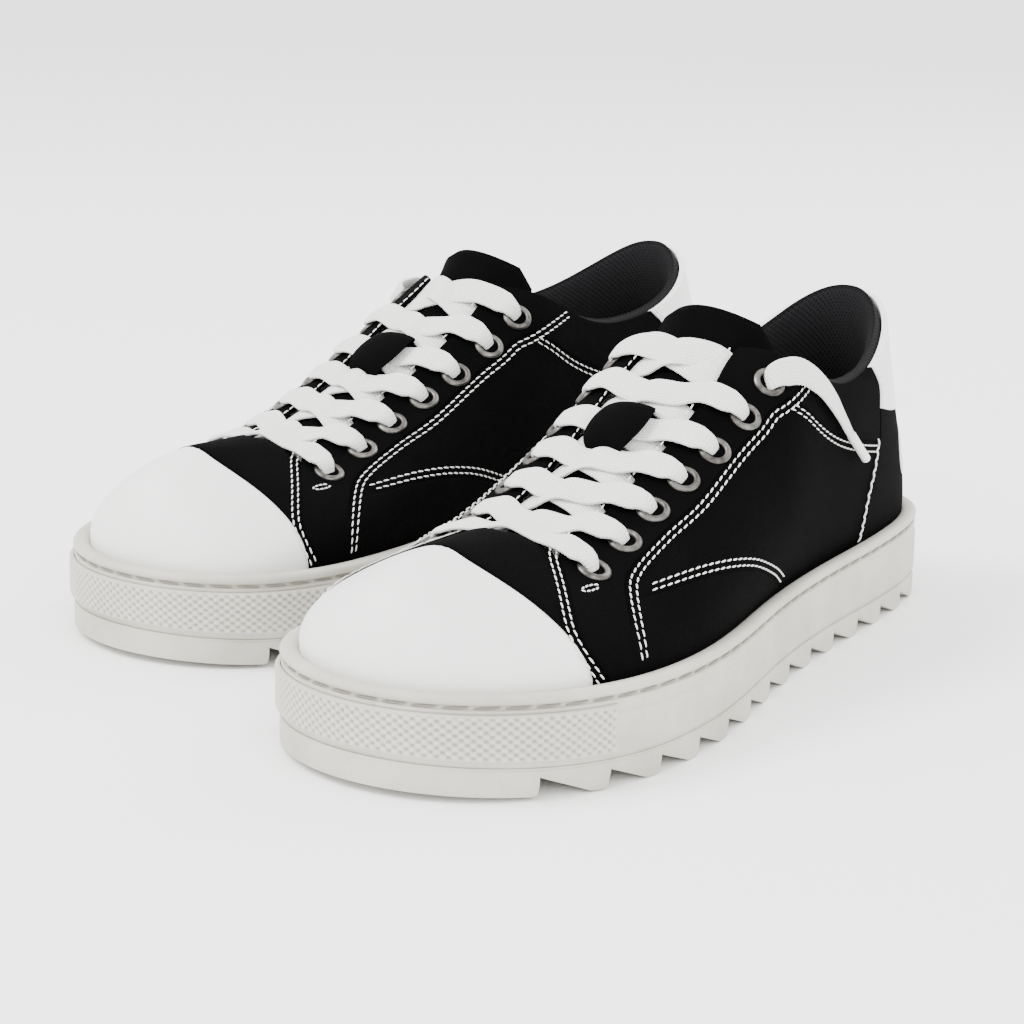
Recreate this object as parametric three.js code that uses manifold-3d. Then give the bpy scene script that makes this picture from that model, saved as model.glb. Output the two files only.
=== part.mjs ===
// A pair of low-top lace-up sneakers with a thick cupsole and a saw-toothed outsole.
// Millimetres. +Z is up and the toes point along -Y. The left shoe stands at +X, the right at -X.
// The origin is under the middle of the pair, on the ground.

import * as THREE from 'three';
import { mergeVertices } from 'three/addons/utils/BufferGeometryUtils.js';
import Module from 'manifold-3d';

const wasm = await Module();
wasm.setup();

// ---- driving dimensions ---------------------------------------------------------------------

const shoeLength = 304;         // outsole, heel to toe
const shoeWidth = 112.5;        // outsole, at the ball of the foot
const collarHeight = 106;       // ground to the top of the heel tab

const lugHeight = 5.6;          // ground to the root between two lugs
const lugPitch = 19.8;
const lugCount = 14;
const treadPlate = 2.6;         // tread above the lug roots
const toeSpring = 2.6;          // how far the tip of the toe is off the ground

const lipHeight = 28.7;         // ground to the top of the sidewall at the waist
const lipRise = 2.2;            // how much higher the lip is at the toe and the heel
const lipWidth = 3.6;
const stitchGroove = 0.9;       // depth of the stitched groove under the lip
const cupFloor = 2.4;
const footbedLevel = 21.0;      // ground to the underside of the footbed
const footbedThickness = 4.0;
const boardThickness = 1.8;
const bumperThickness = 1.3;
const bumperReach = 3.1;        // stations that the toe bumper covers on each side of the toe

const upperThickness = 1.2;
const patchThickness = 0.8;
const embed = 6.0;              // how deep the upper goes down inside the lip
const liningPad = 4.2;
const stiffenerThickness = 0.6;
const toePuffThickness = 0.6;

const eyeletBore = 3.0;         // radius
const eyeletWall = 0.7;
const eyeletFlange = 5.2;       // radius
const stripWidth = 11;          // reinforcement strip behind the eyelets
const stripThickness = 0.6;

const laceWidth = 8.6;
const laceThickness = 1.3;
const laceBunch = 3.6;          // width where the lace is bunched in an eyelet
const agletRadius = 1.45;

const tongueThickness = 3.6;
const tongueHalfWidth = 27;
const tongueFold = 15.8;        // where the free top of the tongue starts, along Y
const keeperWidth = 7;
const keeperRise = 5.3;

// Free end of the lace outside the last eyelet: centre points with the width of the lace there.
const tailRoute = [
  [27.1, 14.1, 91.6, 3.4], [29.2, 12.7, 93.9, 3.6], [30.7, 13.5, 95.7, 4.2], [31.9, 19.1, 96.4, 8.0],
  [33.0, 24.6, 96.0, 8.6], [34.5, 32.0, 92.6, 8.6], [35.1, 37.2, 89.1, 8.6], [36.4, 43.0, 83.0, 8.2],
  [37.3, 48.3, 76.2, 5.5], [37.5, 52.2, 71.9, 3.0],
];
const tailSide = new THREE.Vector3(-0.4, 0.3, 0.85).normalize();
const agletRoute = [[37.5, 52.5, 71.5], [37.0, 64.5, 61.6]];
const innerEnd = [[-1.6, 2.0, -16], [-0.9, 1.8, -10]].map((drop) => new THREE.Vector3(...drop));
const innerAgletRoute = [[-1.7, 2.1, -16.4], [-2.4, 2.6, -33]].map((drop) => new THREE.Vector3(...drop));

const seam = 0.7;               // open seam between two neighbouring panels
const ply = 0.6;                // clearance between two layers, one over the other
const pairShift = [-130.5, 50.6];   // right shoe's place beside the left one
const pairTurn = -5.3;          // degrees that the right shoe is turned

// ---- the last: stations run round the shoe from the heel over the outside to the toe and back ----

// One line per station: outsole plan [x, y], then the upper's two belly points and its top point.
const outside = [
  [[-6, 152.5], [-5, 143, 50], [-4, 132, 74], [-4, 127, 107]],
  [[13, 148], [12, 139, 50], [9, 128, 74], [7, 124, 106]],
  [[25, 130], [23, 122, 49], [20, 114, 71], [17, 114, 99]],
  [[30, 105], [30, 101, 48], [28, 94, 67], [24, 95, 90]],
  [[33, 78], [35, 77, 47], [34, 74, 65], [28, 77, 86]],
  [[35, 52], [38, 51, 47], [39, 49, 66], [31, 54, 86]],
  [[38.5, 26], [42, 26, 47], [44, 24, 70], [31, 36, 94]],
  [[43.5, 0], [47, 2, 47], [46, 12, 82], [28, 22, 103]],
  [[50.5, -26], [51, -24, 47], [40, 5, 93], [0, 6, 103]],
  [[56.5, -53], [55, -50, 46], [32.5, -22, 74.5], [0, -19, 88]],
  [[58.5, -82], [57, -78, 44], [29, -47, 58.5], [0, -43, 75.5]],
  [[54, -109], [52, -104, 44], [31.5, -70, 47], [0, -66, 66]],
  [[41, -133], [39, -127, 46], [27, -98, 54], [0, -92, 63]],
  [[20, -149.5], [20, -143, 47], [14, -128, 60], [0, -111, 63.5]],
];
const toe = [[-4, -154], [-4, -149, 47], [-4, -141, 61], [0, -122, 62]];
const inside = [
  [[-24, 151.5], [-22, 140, 50], [-18, 129, 74], [-14, 124, 106]],
  [[-37, 137], [-34, 127, 49], [-30, 117, 71], [-25, 115, 99]],
  [[-40, 112], [-39, 106, 48], [-36, 98, 67], [-30, 97, 90]],
  [[-39.5, 84], [-39, 80, 47], [-37, 76, 65], [-31, 77, 86]],
  [[-38.5, 56], [-39, 54, 47], [-39, 50, 66], [-32, 54, 86]],
  [[-38.5, 28], [-39, 28, 47], [-42, 24, 70], [-31, 36, 94]],
  [[-41, 0], [-42, 0, 47], [-44, 12, 82], [-28, 22, 103]],
  [[-45.5, -28], [-46, -26, 47], [-40, 5, 93], [0, 6, 103]],
  [[-51, -55], [-51, -52, 46], [-32.5, -22, 74.5], [0, -19, 88]],
  [[-55, -83], [-54, -79, 44], [-29, -47, 58.5], [0, -43, 75.5]],
  [[-55.5, -110], [-54, -105, 44], [-31.5, -70, 47], [0, -66, 66]],
  [[-47, -134], [-45, -128, 46], [-28, -98, 54], [0, -92, 63]],
  [[-27, -149], [-26, -144, 47], [-17, -128, 60], [0, -111, 63.5]],
];
const lastLength = 304;
const lastWidth = 112.5;
const lastCollar = 106;
const lastLip = 28.7;
const stations = [...outside, toe, ...inside.reverse()];
const toeStation = outside.length;
const stationCount = stations.length;

const alongScale = shoeLength / lastLength;
const acrossScale = shoeWidth / lastWidth;
const upScale = (collarHeight - lipHeight) / (lastCollar - lastLip);
const halfLength = shoeLength / 2;

const scaled = ([x, y, z = 0]) =>
  new THREE.Vector3(x * acrossScale, y * alongScale, lipHeight + (z - lastLip) * upScale);

const springAt = (y) => toeSpring * 5 * Math.max(0, -y / halfLength - 0.55) ** 2;
const lipAt = (y) => lipHeight + lipRise * (y / halfLength) ** 2;

// Uniform cubic B-spline through the stations' values.
function blend(values, u) {
  const cell = Math.floor(u);
  const t = u - cell;
  const weights = [(1 - t) ** 3, 3 * t ** 3 - 6 * t ** 2 + 4, -3 * t ** 3 + 3 * t ** 2 + 3 * t + 1, t ** 3];
  const result = new THREE.Vector3();
  weights.forEach((weight, k) => {
    const index = (((cell + k - 1) % stationCount) + stationCount) % stationCount;
    result.addScaledVector(values[index], weight / 6);
  });
  return result;
}

// Points of a clockwise plan curve moved inwards by a distance.
function insetRing(points, distance) {
  return points.map((point, i) => {
    const before = points[(i + points.length - 1) % points.length];
    const after = points[(i + 1) % points.length];
    const run = new THREE.Vector2(after.x - before.x, after.y - before.y).normalize();
    return new THREE.Vector3(point.x + run.y * distance, point.y - run.x * distance, 0);
  });
}

const planPoints = stations.map(([plan]) => scaled(plan));
const featherInset = lipWidth + 2.3;
const featherPoints = insetRing(planPoints, featherInset).map((p) => p.setZ(lipAt(p.y) + 0.3));
const skirt = 0.1;              // girth below the feather line that stands for the embedded depth
const rows = [featherPoints, ...[1, 2, 3].map((k) => stations.map((station) => scaled(station[k])))];

// The upper's outer surface at station c (negative on the inside of the heel) and girth w:
// 0 at the outside feather line, 1 at the top line, 2 at the inside feather line.
function surfacePoint(c, w) {
  const u = w > 1 ? stationCount - c : c;
  const girth = w > 1 ? 2 - w : w;
  const v = Math.max(girth, 0);
  const [feather, low, high, top] = rows.map((row) => blend(row, u));
  const point = new THREE.Vector3()
    .addScaledVector(feather, (1 - v) ** 3)
    .addScaledVector(low, 3 * v * (1 - v) ** 2)
    .addScaledVector(high, 3 * v * v * (1 - v))
    .addScaledVector(top, v ** 3);
  point.z += Math.min(girth, 0) * (embed / skirt);
  return point;
}

function sideNormal(c, w) {
  const step = 0.004;
  const u = w > 1 ? stationCount - c : c;
  const v = Math.min(Math.max(w > 1 ? 2 - w : w, step), 1 - 2 * step);
  const along = surfacePoint(u + step, v).sub(surfacePoint(u - step, v));
  const up = surfacePoint(u, v + step).sub(surfacePoint(u, v - step));
  const normal = up.cross(along).normalize();
  return Math.min(w, 2 - w) < 0 ? normal.setZ(0).normalize() : normal;
}

function surfaceNormal(c, w) {
  const onRidge = Math.abs(w - 1) < 1e-6 && Math.abs(c) > toeStation - 5.5;
  if (!onRidge) return sideNormal(c, w);
  return sideNormal(c, 1).add(sideNormal(stationCount - c, 1)).normalize();
}

const onUpper = (c, w, height) => surfacePoint(c, w).addScaledVector(surfaceNormal(c, w), height);

// The station and girth whose surface point lies at [x, y] in plan, found from a near guess.
function placeUnder([x, y], [c0, w0]) {
  let [c, w] = [c0, w0];
  for (let k = 0; k < 8; k += 1) {
    const here = surfacePoint(c, w);
    const byStation = surfacePoint(c + 0.01, w).sub(here).divideScalar(0.01);
    const byGirth = surfacePoint(c, w + 0.001).sub(here).divideScalar(0.001);
    const [dx, dy] = [x - here.x, y - here.y];
    const size = byStation.x * byGirth.y - byStation.y * byGirth.x;
    c += (dx * byGirth.y - dy * byGirth.x) / size;
    w += (byStation.x * dy - byStation.y * dx) / size;
  }
  return [c, w];
}

// ---- geometry helpers -----------------------------------------------------------------------

function fromTriangles(points, faces) {
  const geometry = new THREE.BufferGeometry();
  geometry.setAttribute('position', new THREE.Float32BufferAttribute(points.flatMap((p) => p.toArray()), 3));
  geometry.setIndex(faces.flat());
  return withoutSlivers(mergeVertices(geometry, 1e-3));
}

// Triangles that merging has closed to a line are dropped.
function withoutSlivers(geometry) {
  const index = geometry.getIndex().array;
  const kept = [];
  for (let i = 0; i < index.length; i += 3) {
    const [a, b, c] = [index[i], index[i + 1], index[i + 2]];
    if (a !== b && b !== c && a !== c) kept.push(a, b, c);
  }
  geometry.setIndex(kept);
  return geometry;
}

function volumeOf(geometry) {
  const position = geometry.getAttribute('position');
  const index = geometry.getIndex().array;
  const [a, b, c] = [new THREE.Vector3(), new THREE.Vector3(), new THREE.Vector3()];
  let total = 0;
  for (let i = 0; i < index.length; i += 3) {
    a.fromBufferAttribute(position, index[i]);
    b.fromBufferAttribute(position, index[i + 1]);
    c.fromBufferAttribute(position, index[i + 2]);
    total += a.dot(b.cross(c));
  }
  return total / 6;
}

function flipped(geometry) {
  const index = Array.from(geometry.getIndex().array);
  for (let i = 0; i < index.length; i += 3) [index[i], index[i + 1]] = [index[i + 1], index[i]];
  geometry.setIndex(index);
  return geometry;
}

const facingOut = (geometry) => (volumeOf(geometry) < 0 ? flipped(geometry) : geometry);

// A closed slab over a grid of s and t from 0 to 1. outer and inner give its two skins.
// With ridge, the last row folds onto itself and is joined there.
function slab(columns, lines, outer, inner, ridge = false) {
  const points = [];
  const id = (skin, i, j) => (skin * (columns + 1) + i) * (lines + 1) + j;
  for (const skin of [outer, inner]) {
    for (let i = 0; i <= columns; i += 1) {
      for (let j = 0; j <= lines; j += 1) points.push(skin(i / columns, j / lines));
    }
  }
  const faces = [];
  const quad = (a, b, c, d) => faces.push([a, b, c], [a, c, d]);
  for (let i = 0; i < columns; i += 1) {
    for (let j = 0; j < lines; j += 1) {
      quad(id(0, i, j), id(0, i + 1, j), id(0, i + 1, j + 1), id(0, i, j + 1));
      quad(id(1, i, j), id(1, i, j + 1), id(1, i + 1, j + 1), id(1, i + 1, j));
    }
    quad(id(0, i, 0), id(1, i, 0), id(1, i + 1, 0), id(0, i + 1, 0));
    if (!ridge) quad(id(0, i, lines), id(0, i + 1, lines), id(1, i + 1, lines), id(1, i, lines));
  }
  for (let j = 0; j < lines; j += 1) {
    quad(id(0, 0, j), id(0, 0, j + 1), id(1, 0, j + 1), id(1, 0, j));
    quad(id(0, columns, j), id(1, columns, j), id(1, columns, j + 1), id(0, columns, j + 1));
  }
  return facingOut(fromTriangles(points, faces));
}

// A panel of the upper. place(s, t) gives [station, girth]; its edges draw back by half a seam.
// skirts names the ends of t, 0 or 1, that go on down inside the lip of the sole.
function panel(columns, lines, place, outerHeight, innerHeight, { ridge = false, skirts = [] } = {}) {
  const start = skirts.includes(0) ? 1 : 0;
  const steps = lines + skirts.length;
  const heightOf = (height, c, w) => (typeof height === 'function' ? height(c, w) : height);
  const base = (s, step, height) => {
    const part = THREE.MathUtils.clamp((step - start) / lines, 0, 1);
    const [c, w] = place(s, part);
    const buried = (start && step === 0) || (skirts.includes(1) && step === steps);
    const deep = buried ? (w > 1 ? 2 + skirt : -skirt) : w;
    return onUpper(c, deep, heightOf(height, c, w));
  };
  const drawn = (s, t, height) => {
    const step = Math.round(t * steps);
    const point = base(s, step, height);
    const shift = new THREE.Vector3();
    const pull = (s2, step2) => shift.add(base(s2, step2, height).sub(point).setLength(seam / 2));
    if (s === 0) pull(1 / columns, step);
    if (s === 1) pull(1 - 1 / columns, step);
    if (step === 0) pull(s, 1);
    if (step === steps && !ridge) pull(s, steps - 1);
    return point.add(shift);
  };
  return slab(columns, steps, (s, t) => drawn(s, t, outerHeight), (s, t) => drawn(s, t, innerHeight), ridge);
}

// A plan curve through [station, girth] knots, with t from 0 to 1.
function through(...knots) {
  const curve = new THREE.SplineCurve(knots.map(([c, w]) => new THREE.Vector2(c, w)));
  return (t) => curve.getPoint(t).toArray();
}

// Coons patch between four such curves.
function between(bottom, top, left, right) {
  return (s, t) => [0, 1].map((k) => {
    const ruled = (1 - t) * bottom(s)[k] + t * top(s)[k] + (1 - s) * left(t)[k] + s * right(t)[k];
    const corners = (1 - s) * (1 - t) * bottom(0)[k] + s * (1 - t) * bottom(1)[k]
      + (1 - s) * t * top(0)[k] + s * t * top(1)[k];
    return ruled - corners;
  });
}

// A closed body from anticlockwise rings that share one count of points, capped at both ends.
function stack(rings) {
  const count = rings[0].length;
  const cap = (points, offset, up) => {
    const flat = points.map((p) => new THREE.Vector2(p.x, p.y));
    return THREE.ShapeUtils.triangulateShape(flat, []).map((face) => {
      const facesUp = THREE.ShapeUtils.area(face.map((i) => flat[i])) > 0;
      const turned = facesUp === up ? face : [...face].reverse();
      return turned.map((i) => i + offset);
    });
  };
  const faces = [...cap(rings[0], 0, false), ...cap(rings.at(-1), (rings.length - 1) * count, true)];
  for (let k = 0; k < rings.length - 1; k += 1) {
    for (let i = 0; i < count; i += 1) {
      const j = (i + 1) % count;
      const [a, b, c, d] = [k * count + i, k * count + j, (k + 1) * count + j, (k + 1) * count + i];
      faces.push([a, b, c], [a, c, d]);
    }
  }
  return facingOut(fromTriangles(rings.flat(), faces));
}

function toSolid(geometry) {
  const merged = mergeVertices(geometry.clone().deleteAttribute('normal').deleteAttribute('uv'), 1e-4);
  return new wasm.Manifold(new wasm.Mesh({
    numProp: 3,
    vertProperties: new Float32Array(merged.getAttribute('position').array),
    triVerts: new Uint32Array(merged.getIndex().array),
  }));
}

function toGeometry(solid) {
  const mesh = solid.getMesh();
  const geometry = new THREE.BufferGeometry();
  geometry.setAttribute('position', new THREE.Float32BufferAttribute(mesh.vertProperties, 3));
  geometry.setIndex(Array.from(mesh.triVerts));
  return geometry;
}

// ---- sole -----------------------------------------------------------------------------------

const ringSteps = 56;
const outline = Array.from({ length: ringSteps }, (_, i) => blend(planPoints, (i * stationCount) / ringSteps));
const ring = (inset, level) => insetRing(outline, inset).map((p) => p.setZ(level(p.y))).reverse();
const coarseRing = (inset, level) => ring(inset, level).filter((_, i) => i % 2 === 0);
const raised = (height) => (y) => height + springAt(y);
const flat = (height) => () => height;
const underLip = (drop) => (y) => lipAt(y) - drop;
const treadTop = lugHeight + treadPlate;
const cupLevel = treadTop + 0.3 + cupFloor + toeSpring;

function treadOutsole() {
  const heel = halfLength - 2;
  const profile = [[halfLength + 5, treadTop], [halfLength + 5, lugHeight], [heel, lugHeight]];
  for (let k = 0; k < lugCount; k += 1) {
    const y = heel - k * lugPitch;
    profile.push([y - 0.5, 0.6], [y - 1.6, 0], [y - lugPitch * 0.3, 0], [y - lugPitch + 0.4, lugHeight]);
  }
  const block = heel - lugCount * lugPitch;
  profile.push([block, 0], [-halfLength - 5, 0], [-halfLength - 5, treadTop]);
  const teeth = new THREE.ExtrudeGeometry(
    new THREE.Shape(profile.map(([y, z]) => new THREE.Vector2(y, z))),
    { depth: shoeWidth + 20, bevelEnabled: false },
  );
  teeth.translate(0, 0, -shoeWidth / 2 - 10);
  teeth.applyMatrix4(new THREE.Matrix4().set(0, 0, 1, 0, 1, 0, 0, 0, 0, 1, 0, 0, 0, 0, 0, 1));
  const plan = new THREE.Shape(ring(0.4, () => 0).map((p) => new THREE.Vector2(p.x, p.y)));
  const prism = new THREE.ExtrudeGeometry(plan, { depth: treadTop + 10, bevelEnabled: false });
  prism.translate(0, 0, -5);
  const body = toGeometry(toSolid(teeth).intersect(toSolid(prism)));
  const position = body.getAttribute('position');
  for (let i = 0; i < position.count; i += 1) position.setZ(i, position.getZ(i) + springAt(position.getY(i)));
  return body;
}

function cupsole() {
  return stack([
    ring(1.2, raised(treadTop + 0.3)),
    ring(0, raised(treadTop + 1.6)),
    ring(0, underLip(5)),
    ring(stitchGroove, underLip(3.2)),
    ring(0.7, underLip(0.6)),
    ring(lipWidth, underLip(0)),
    ring(lipWidth + 1.2, underLip(1.2)),
    ring(lipWidth + 1.4, flat(cupLevel)),
  ]);
}

function toeBumper() {
  const span = 2 * bumperReach;
  const edgeAt = (s) => blend(planPoints, toeStation - bumperReach + span * s);
  const outward = (s) => {
    const run = edgeAt(s + 0.01).sub(edgeAt(s - 0.01)).normalize();
    return new THREE.Vector3(-run.y, run.x, 0);
  };
  const low = (y) => treadTop + 2.4 + springAt(y);
  const high = (y) => lipAt(y) - 5.4;
  const skin = (offset) => (s, t) => {
    const point = edgeAt(s);
    point.z = THREE.MathUtils.lerp(low(point.y), high(point.y), t);
    return point.addScaledVector(outward(s), offset);
  };
  return slab(16, 1, skin(seam + bumperThickness), skin(seam));
}

const footSpace = lipWidth + 1.4 + seam;
function midsoleFoam() {
  const top = footbedLevel - boardThickness - 2 * seam;
  return stack([coarseRing(footSpace, flat(cupLevel + 0.4)), coarseRing(footSpace, flat(top))]);
}

const boardInset = featherInset + upperThickness + ply;
function insoleBoard() {
  const low = footbedLevel - boardThickness - seam;
  return stack([coarseRing(boardInset, flat(low)), coarseRing(boardInset, flat(low + boardThickness))]);
}

function footbed() {
  const edge = boardInset + 3.6;
  return stack([
    coarseRing(edge, flat(footbedLevel)),
    coarseRing(edge - 0.4, flat(footbedLevel + footbedThickness)),
    coarseRing(edge + 6, flat(footbedLevel + footbedThickness - 1)),
  ]);
}

// ---- upper ----------------------------------------------------------------------------------

const capSeam = (v) => 11.05 + 0.9 * v + 1.15 * v * v;
const facingRear = [[6.05, 1], [7.0, 0.81], [7.45, 0.74], [7.97, 0.66], [9.03, 0.6], [9.85, 0.6], [10.45, 0.575],
  [10.68, 0.5], [10.66, 0.3], [10.4, 0]];
const facingFront = [[7.4, 1], [8.1, 0.86], [8.8, 0.82], [9.6, 0.82], [10.4, 0.82], [11.1, 0.815],
  [11.47, 0.72], [11.42, 0.34], [10.85, 0]];
const throatFront = 11.85;      // station of the throat's front end, on the centre line
const counterSeam = [[3.8, 0], [3.92, 0.3], [3.5, 0.6]];
const collarSeam = [[3.5, 0.6], [4.57, 0.7], [5.5, 0.765], [6.27, 0.8], [6.7, 0.807], [7.0, 0.81]];
const tabCorner = [3.3, 0.76];
const tabSide = [[3.3, 0.76], [3.2, 0.87], [3.55, 1]];
const eyeletPlaces = [[11.05, 0.645], [10.39, 0.68], [9.78, 0.692], [9.18, 0.69], [8.6, 0.682],
  [7.95, 0.72], [7.3, 0.846]];

// side is 1 on the outside of the foot and -1 on the inside.
const sided = (side, [c, w]) => [c, side > 0 ? w : 2 - Math.min(w, 1 - 1e-7)];
const sidedPlace = (side, place) => (s, t) => sided(side, place(s, t));

function toeCap() {
  const place = (s, t) => {
    const start = capSeam(t);
    return [start + (stationCount - 2 * start) * s, t];
  };
  return panel(14, 6, place, 0, -upperThickness, { ridge: true, skirts: [0] });
}

function toePuff() {
  const start = (v) => capSeam(v) + 0.35;
  const place = (s, t) => [start(t) + (stationCount - 2 * start(t)) * s, 0.12 + 0.88 * t];
  return panel(10, 4, place, -upperThickness - ply, -upperThickness - ply - toePuffThickness, { ridge: true });
}

function vamp() {
  const edge = through(...facingFront.slice(6).reverse());
  const edgeTop = facingFront[6][1];
  const rear = (v) => {
    if (v > edgeTop) return THREE.MathUtils.mapLinear(v, edgeTop, 1, facingFront[6][0], throatFront);
    let [low, high] = [0, 1];
    for (let k = 0; k < 30; k += 1) {
      const middle = (low + high) / 2;
      if (edge(middle)[1] < v) low = middle;
      else high = middle;
    }
    return edge(low)[0];
  };
  const place = (s, t) => {
    const v = 1 - Math.abs(2 * t - 1);
    return [THREE.MathUtils.lerp(rear(v), capSeam(v), s), 2 * t];
  };
  return panel(2, 18, place, 0, -upperThickness, { skirts: [0, 1] });
}

function eyelet(side, row) {
  const [c, w] = sided(side, eyeletPlaces[row]);
  const centre = surfacePoint(c, w);
  const normal = surfaceNormal(c, w);
  const across = new THREE.Vector3(-side, 0, 0).addScaledVector(normal, side * normal.x).normalize();
  return { centre, normal, across, along: new THREE.Vector3().crossVectors(normal, across) };
}

function placedAt({ centre, normal, across, along }, geometry) {
  const basis = new THREE.Matrix4().makeBasis(across, along, normal).setPosition(centre);
  return geometry.applyMatrix4(basis);
}

const barrelRadius = eyeletBore + eyeletWall;
const rowIndexes = eyeletPlaces.map((_, row) => row);

function boreThrough(frame, radius) {
  const plug = new THREE.CylinderGeometry(radius, radius, 16, 8).rotateX(Math.PI / 2);
  return toSolid(placedAt(frame, plug));
}

function eyestay(side) {
  const [rear, front] = [through(...facingRear), through(...facingFront)];
  const place = (s, t) => {
    const [a, b] = [rear(t), front(t)];
    return [THREE.MathUtils.lerp(a[0], b[0], s), THREE.MathUtils.lerp(a[1], b[1], s)];
  };
  const sheet = panel(2, 15, sidedPlace(side, place), 0, -upperThickness, { skirts: [1] });
  const holed = rowIndexes.reduce(
    (solid, row) => solid.subtract(boreThrough(eyelet(side, row), barrelRadius + 0.35)),
    toSolid(sheet),
  );
  return toGeometry(holed);
}

// Length of the surface line at a station, from feather to top, for turning millimetres into girth.
function girthLength(side, c) {
  let length = 0;
  for (let k = 0; k < 10; k += 1) {
    const from = surfacePoint(...sided(side, [c, k / 10]));
    length += from.distanceTo(surfacePoint(...sided(side, [c, (k + 1) / 10])));
  }
  return length;
}

const eyeletSides = 8;
const eyeletProfile = (low) => [[eyeletBore, low], [barrelRadius, low], [barrelRadius, 0.45],
  [eyeletFlange, 0.6], [eyeletBore, 1.1], [eyeletBore, low]];

// Seven eyelets on the reinforcement strip that they are set in, behind the facing.
function eyeletRow(side) {
  const curve = through(...eyeletPlaces);
  const top = -upperThickness - ply - 0.1;
  const skin = (height) => (s, t) => {
    const [c, w] = curve(THREE.MathUtils.lerp(0, 1, t));
    const beyond = t === 0 ? 0.2 : (t === 1 ? -0.2 : 0);
    const girth = w + ((s - 0.5) * stripWidth) / girthLength(side, c);
    return onUpper(...sided(side, [c + beyond, girth]), height);
  };
  const strip = toSolid(slab(1, 10, skin(top), skin(top - stripThickness)));
  const profile = eyeletProfile(top - stripThickness - 0.3).map(([r, z]) => new THREE.Vector2(r, z));
  return toGeometry(rowIndexes.reduce((solid, row) => {
    const frame = eyelet(side, row);
    const ringShape = new THREE.LatheGeometry(profile, eyeletSides).rotateX(Math.PI / 2);
    const metal = facingOut(mergeVertices(ringShape.deleteAttribute('normal').deleteAttribute('uv'), 1e-4));
    return solid.subtract(boreThrough(frame, barrelRadius - 0.1)).add(toSolid(placedAt(frame, metal)));
  }, strip));
}

function quarter(side) {
  const corner = [[6.93, 0.8], [7.12, 0.782]];
  const top = through(...collarSeam.slice(0, -1), ...corner, ...facingRear.slice(2, 9));
  const bottom = through([3.8, 0], [7, 0], [10.4, 0]);
  const left = through(...counterSeam);
  const right = through([10.4, 0], [10.66, 0.3]);
  const place = sidedPlace(side, between(bottom, top, left, right));
  return panel(16, 4, place, 0, -upperThickness, { skirts: [0] });
}

function sidePatch(side) {
  const top = through([6.6, 0.11], [7.79, 0.2], [8.53, 0.265], [9.43, 0.34], [10.55, 0.42]);
  const bottom = through([6.5, 0.07], [8.5, 0.07], [10.4, 0.07]);
  const left = through([6.5, 0.07], [6.6, 0.11]);
  const right = through([10.4, 0.07], [10.55, 0.42]);
  const place = sidedPlace(side, between(bottom, top, left, right));
  return panel(10, 2, place, ply + patchThickness + 0.1, ply + 0.1);
}

function collar(side) {
  const bottom = through(...collarSeam);
  const top = through([3.55, 1], [4.4, 1], [5.3, 1], [6.05, 1]);
  const left = through(collarSeam[0], ...tabSide);
  const right = through([7.0, 0.81], [6.05, 1]);
  return panel(9, 4, sidedPlace(side, between(bottom, top, left, right)), 0, -upperThickness);
}

const mirroredKnots = (knots) => knots.map(([c, w]) => [-c, w]).reverse();

function heelCounter() {
  const topHalf = [[1.93, 0.6], tabCorner];
  const top = through(...mirroredKnots(topHalf), [0, 0.56], ...topHalf);
  const bottom = through([-3.8, 0], [-1.9, 0], [0, 0], [1.9, 0], [3.8, 0]);
  const right = through(...counterSeam, tabCorner);
  const left = (t) => [-right(t)[0], right(t)[1]];
  return panel(18, 4, between(bottom, top, left, right), 0, -upperThickness, { skirts: [0] });
}

function heelTab() {
  const bottomHalf = [[1.93, 0.6], tabCorner];
  const bottom = through(...mirroredKnots(bottomHalf), [0, 0.56], ...bottomHalf);
  const top = through([-3.55, 1], [-1.8, 1], [0, 1], [1.8, 1], [3.55, 1]);
  const right = through(...tabSide);
  const left = (t) => [-right(t)[0], right(t)[1]];
  return panel(14, 3, between(bottom, top, left, right), 0, -upperThickness);
}

function heelStiffener() {
  const place = (s, t) => [-3 + 6 * s, 0.08 + 0.42 * t];
  const outer = -upperThickness - ply;
  return panel(12, 2, place, outer, outer - stiffenerThickness);
}

function collarLining() {
  const behindStiffener = upperThickness + 2 * ply + stiffenerThickness;
  const outer = (c) => -THREE.MathUtils.lerp(
    behindStiffener, upperThickness + ply, THREE.MathUtils.smoothstep(Math.abs(c), 3.2, 4.2));
  const pad = (w) => 1.6 + liningPad * Math.sin(Math.PI * THREE.MathUtils.clamp((w - 0.35) / 0.65, 0, 1));
  const place = (s, t) => {
    const girth = 0.02 + 0.97 * t;
    const front = 5.9 + 0.2 * t;
    return [front * (2 * s - 1), girth];
  };
  return panel(22, 5, place, outer, (c, w) => outer(c) - pad(w));
}

// ---- tongue and lace ------------------------------------------------------------------------

// Centre line of the tongue's face, and how far its sides fall below it.
const tongueLine = new THREE.CatmullRomCurve3([
  [-96, 59.4], [-75, 58.2], [-46, 69], [-17, 83.6], [4, 97], [12.5, 105.5], [20, 115.5],
].map(([y, z]) => scaled([0, y, z])));
const tongueSag = 0.027;
const tongueTopSag = 0.031;

function tongueParameter(y) {
  let [low, high] = [0, 1];
  for (let k = 0; k < 30; k += 1) {
    const middle = (low + high) / 2;
    if (tongueLine.getPoint(middle).y < y) low = middle;
    else high = middle;
  }
  return low;
}

function tongueFrame(x, y) {
  const t = tongueParameter(y);
  const point = tongueLine.getPoint(t);
  const run = tongueLine.getTangent(t);
  const rise = new THREE.Vector3(0, -run.z, run.y);
  const sag = THREE.MathUtils.lerp(tongueSag, tongueTopSag, THREE.MathUtils.smoothstep(y, -20, tongueFold));
  point.x = x;
  point.addScaledVector(rise, -sag * x * x);
  const normal = rise.add(new THREE.Vector3(2 * sag * x, 0, 0)).normalize();
  return { point, normal, run };
}

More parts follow.
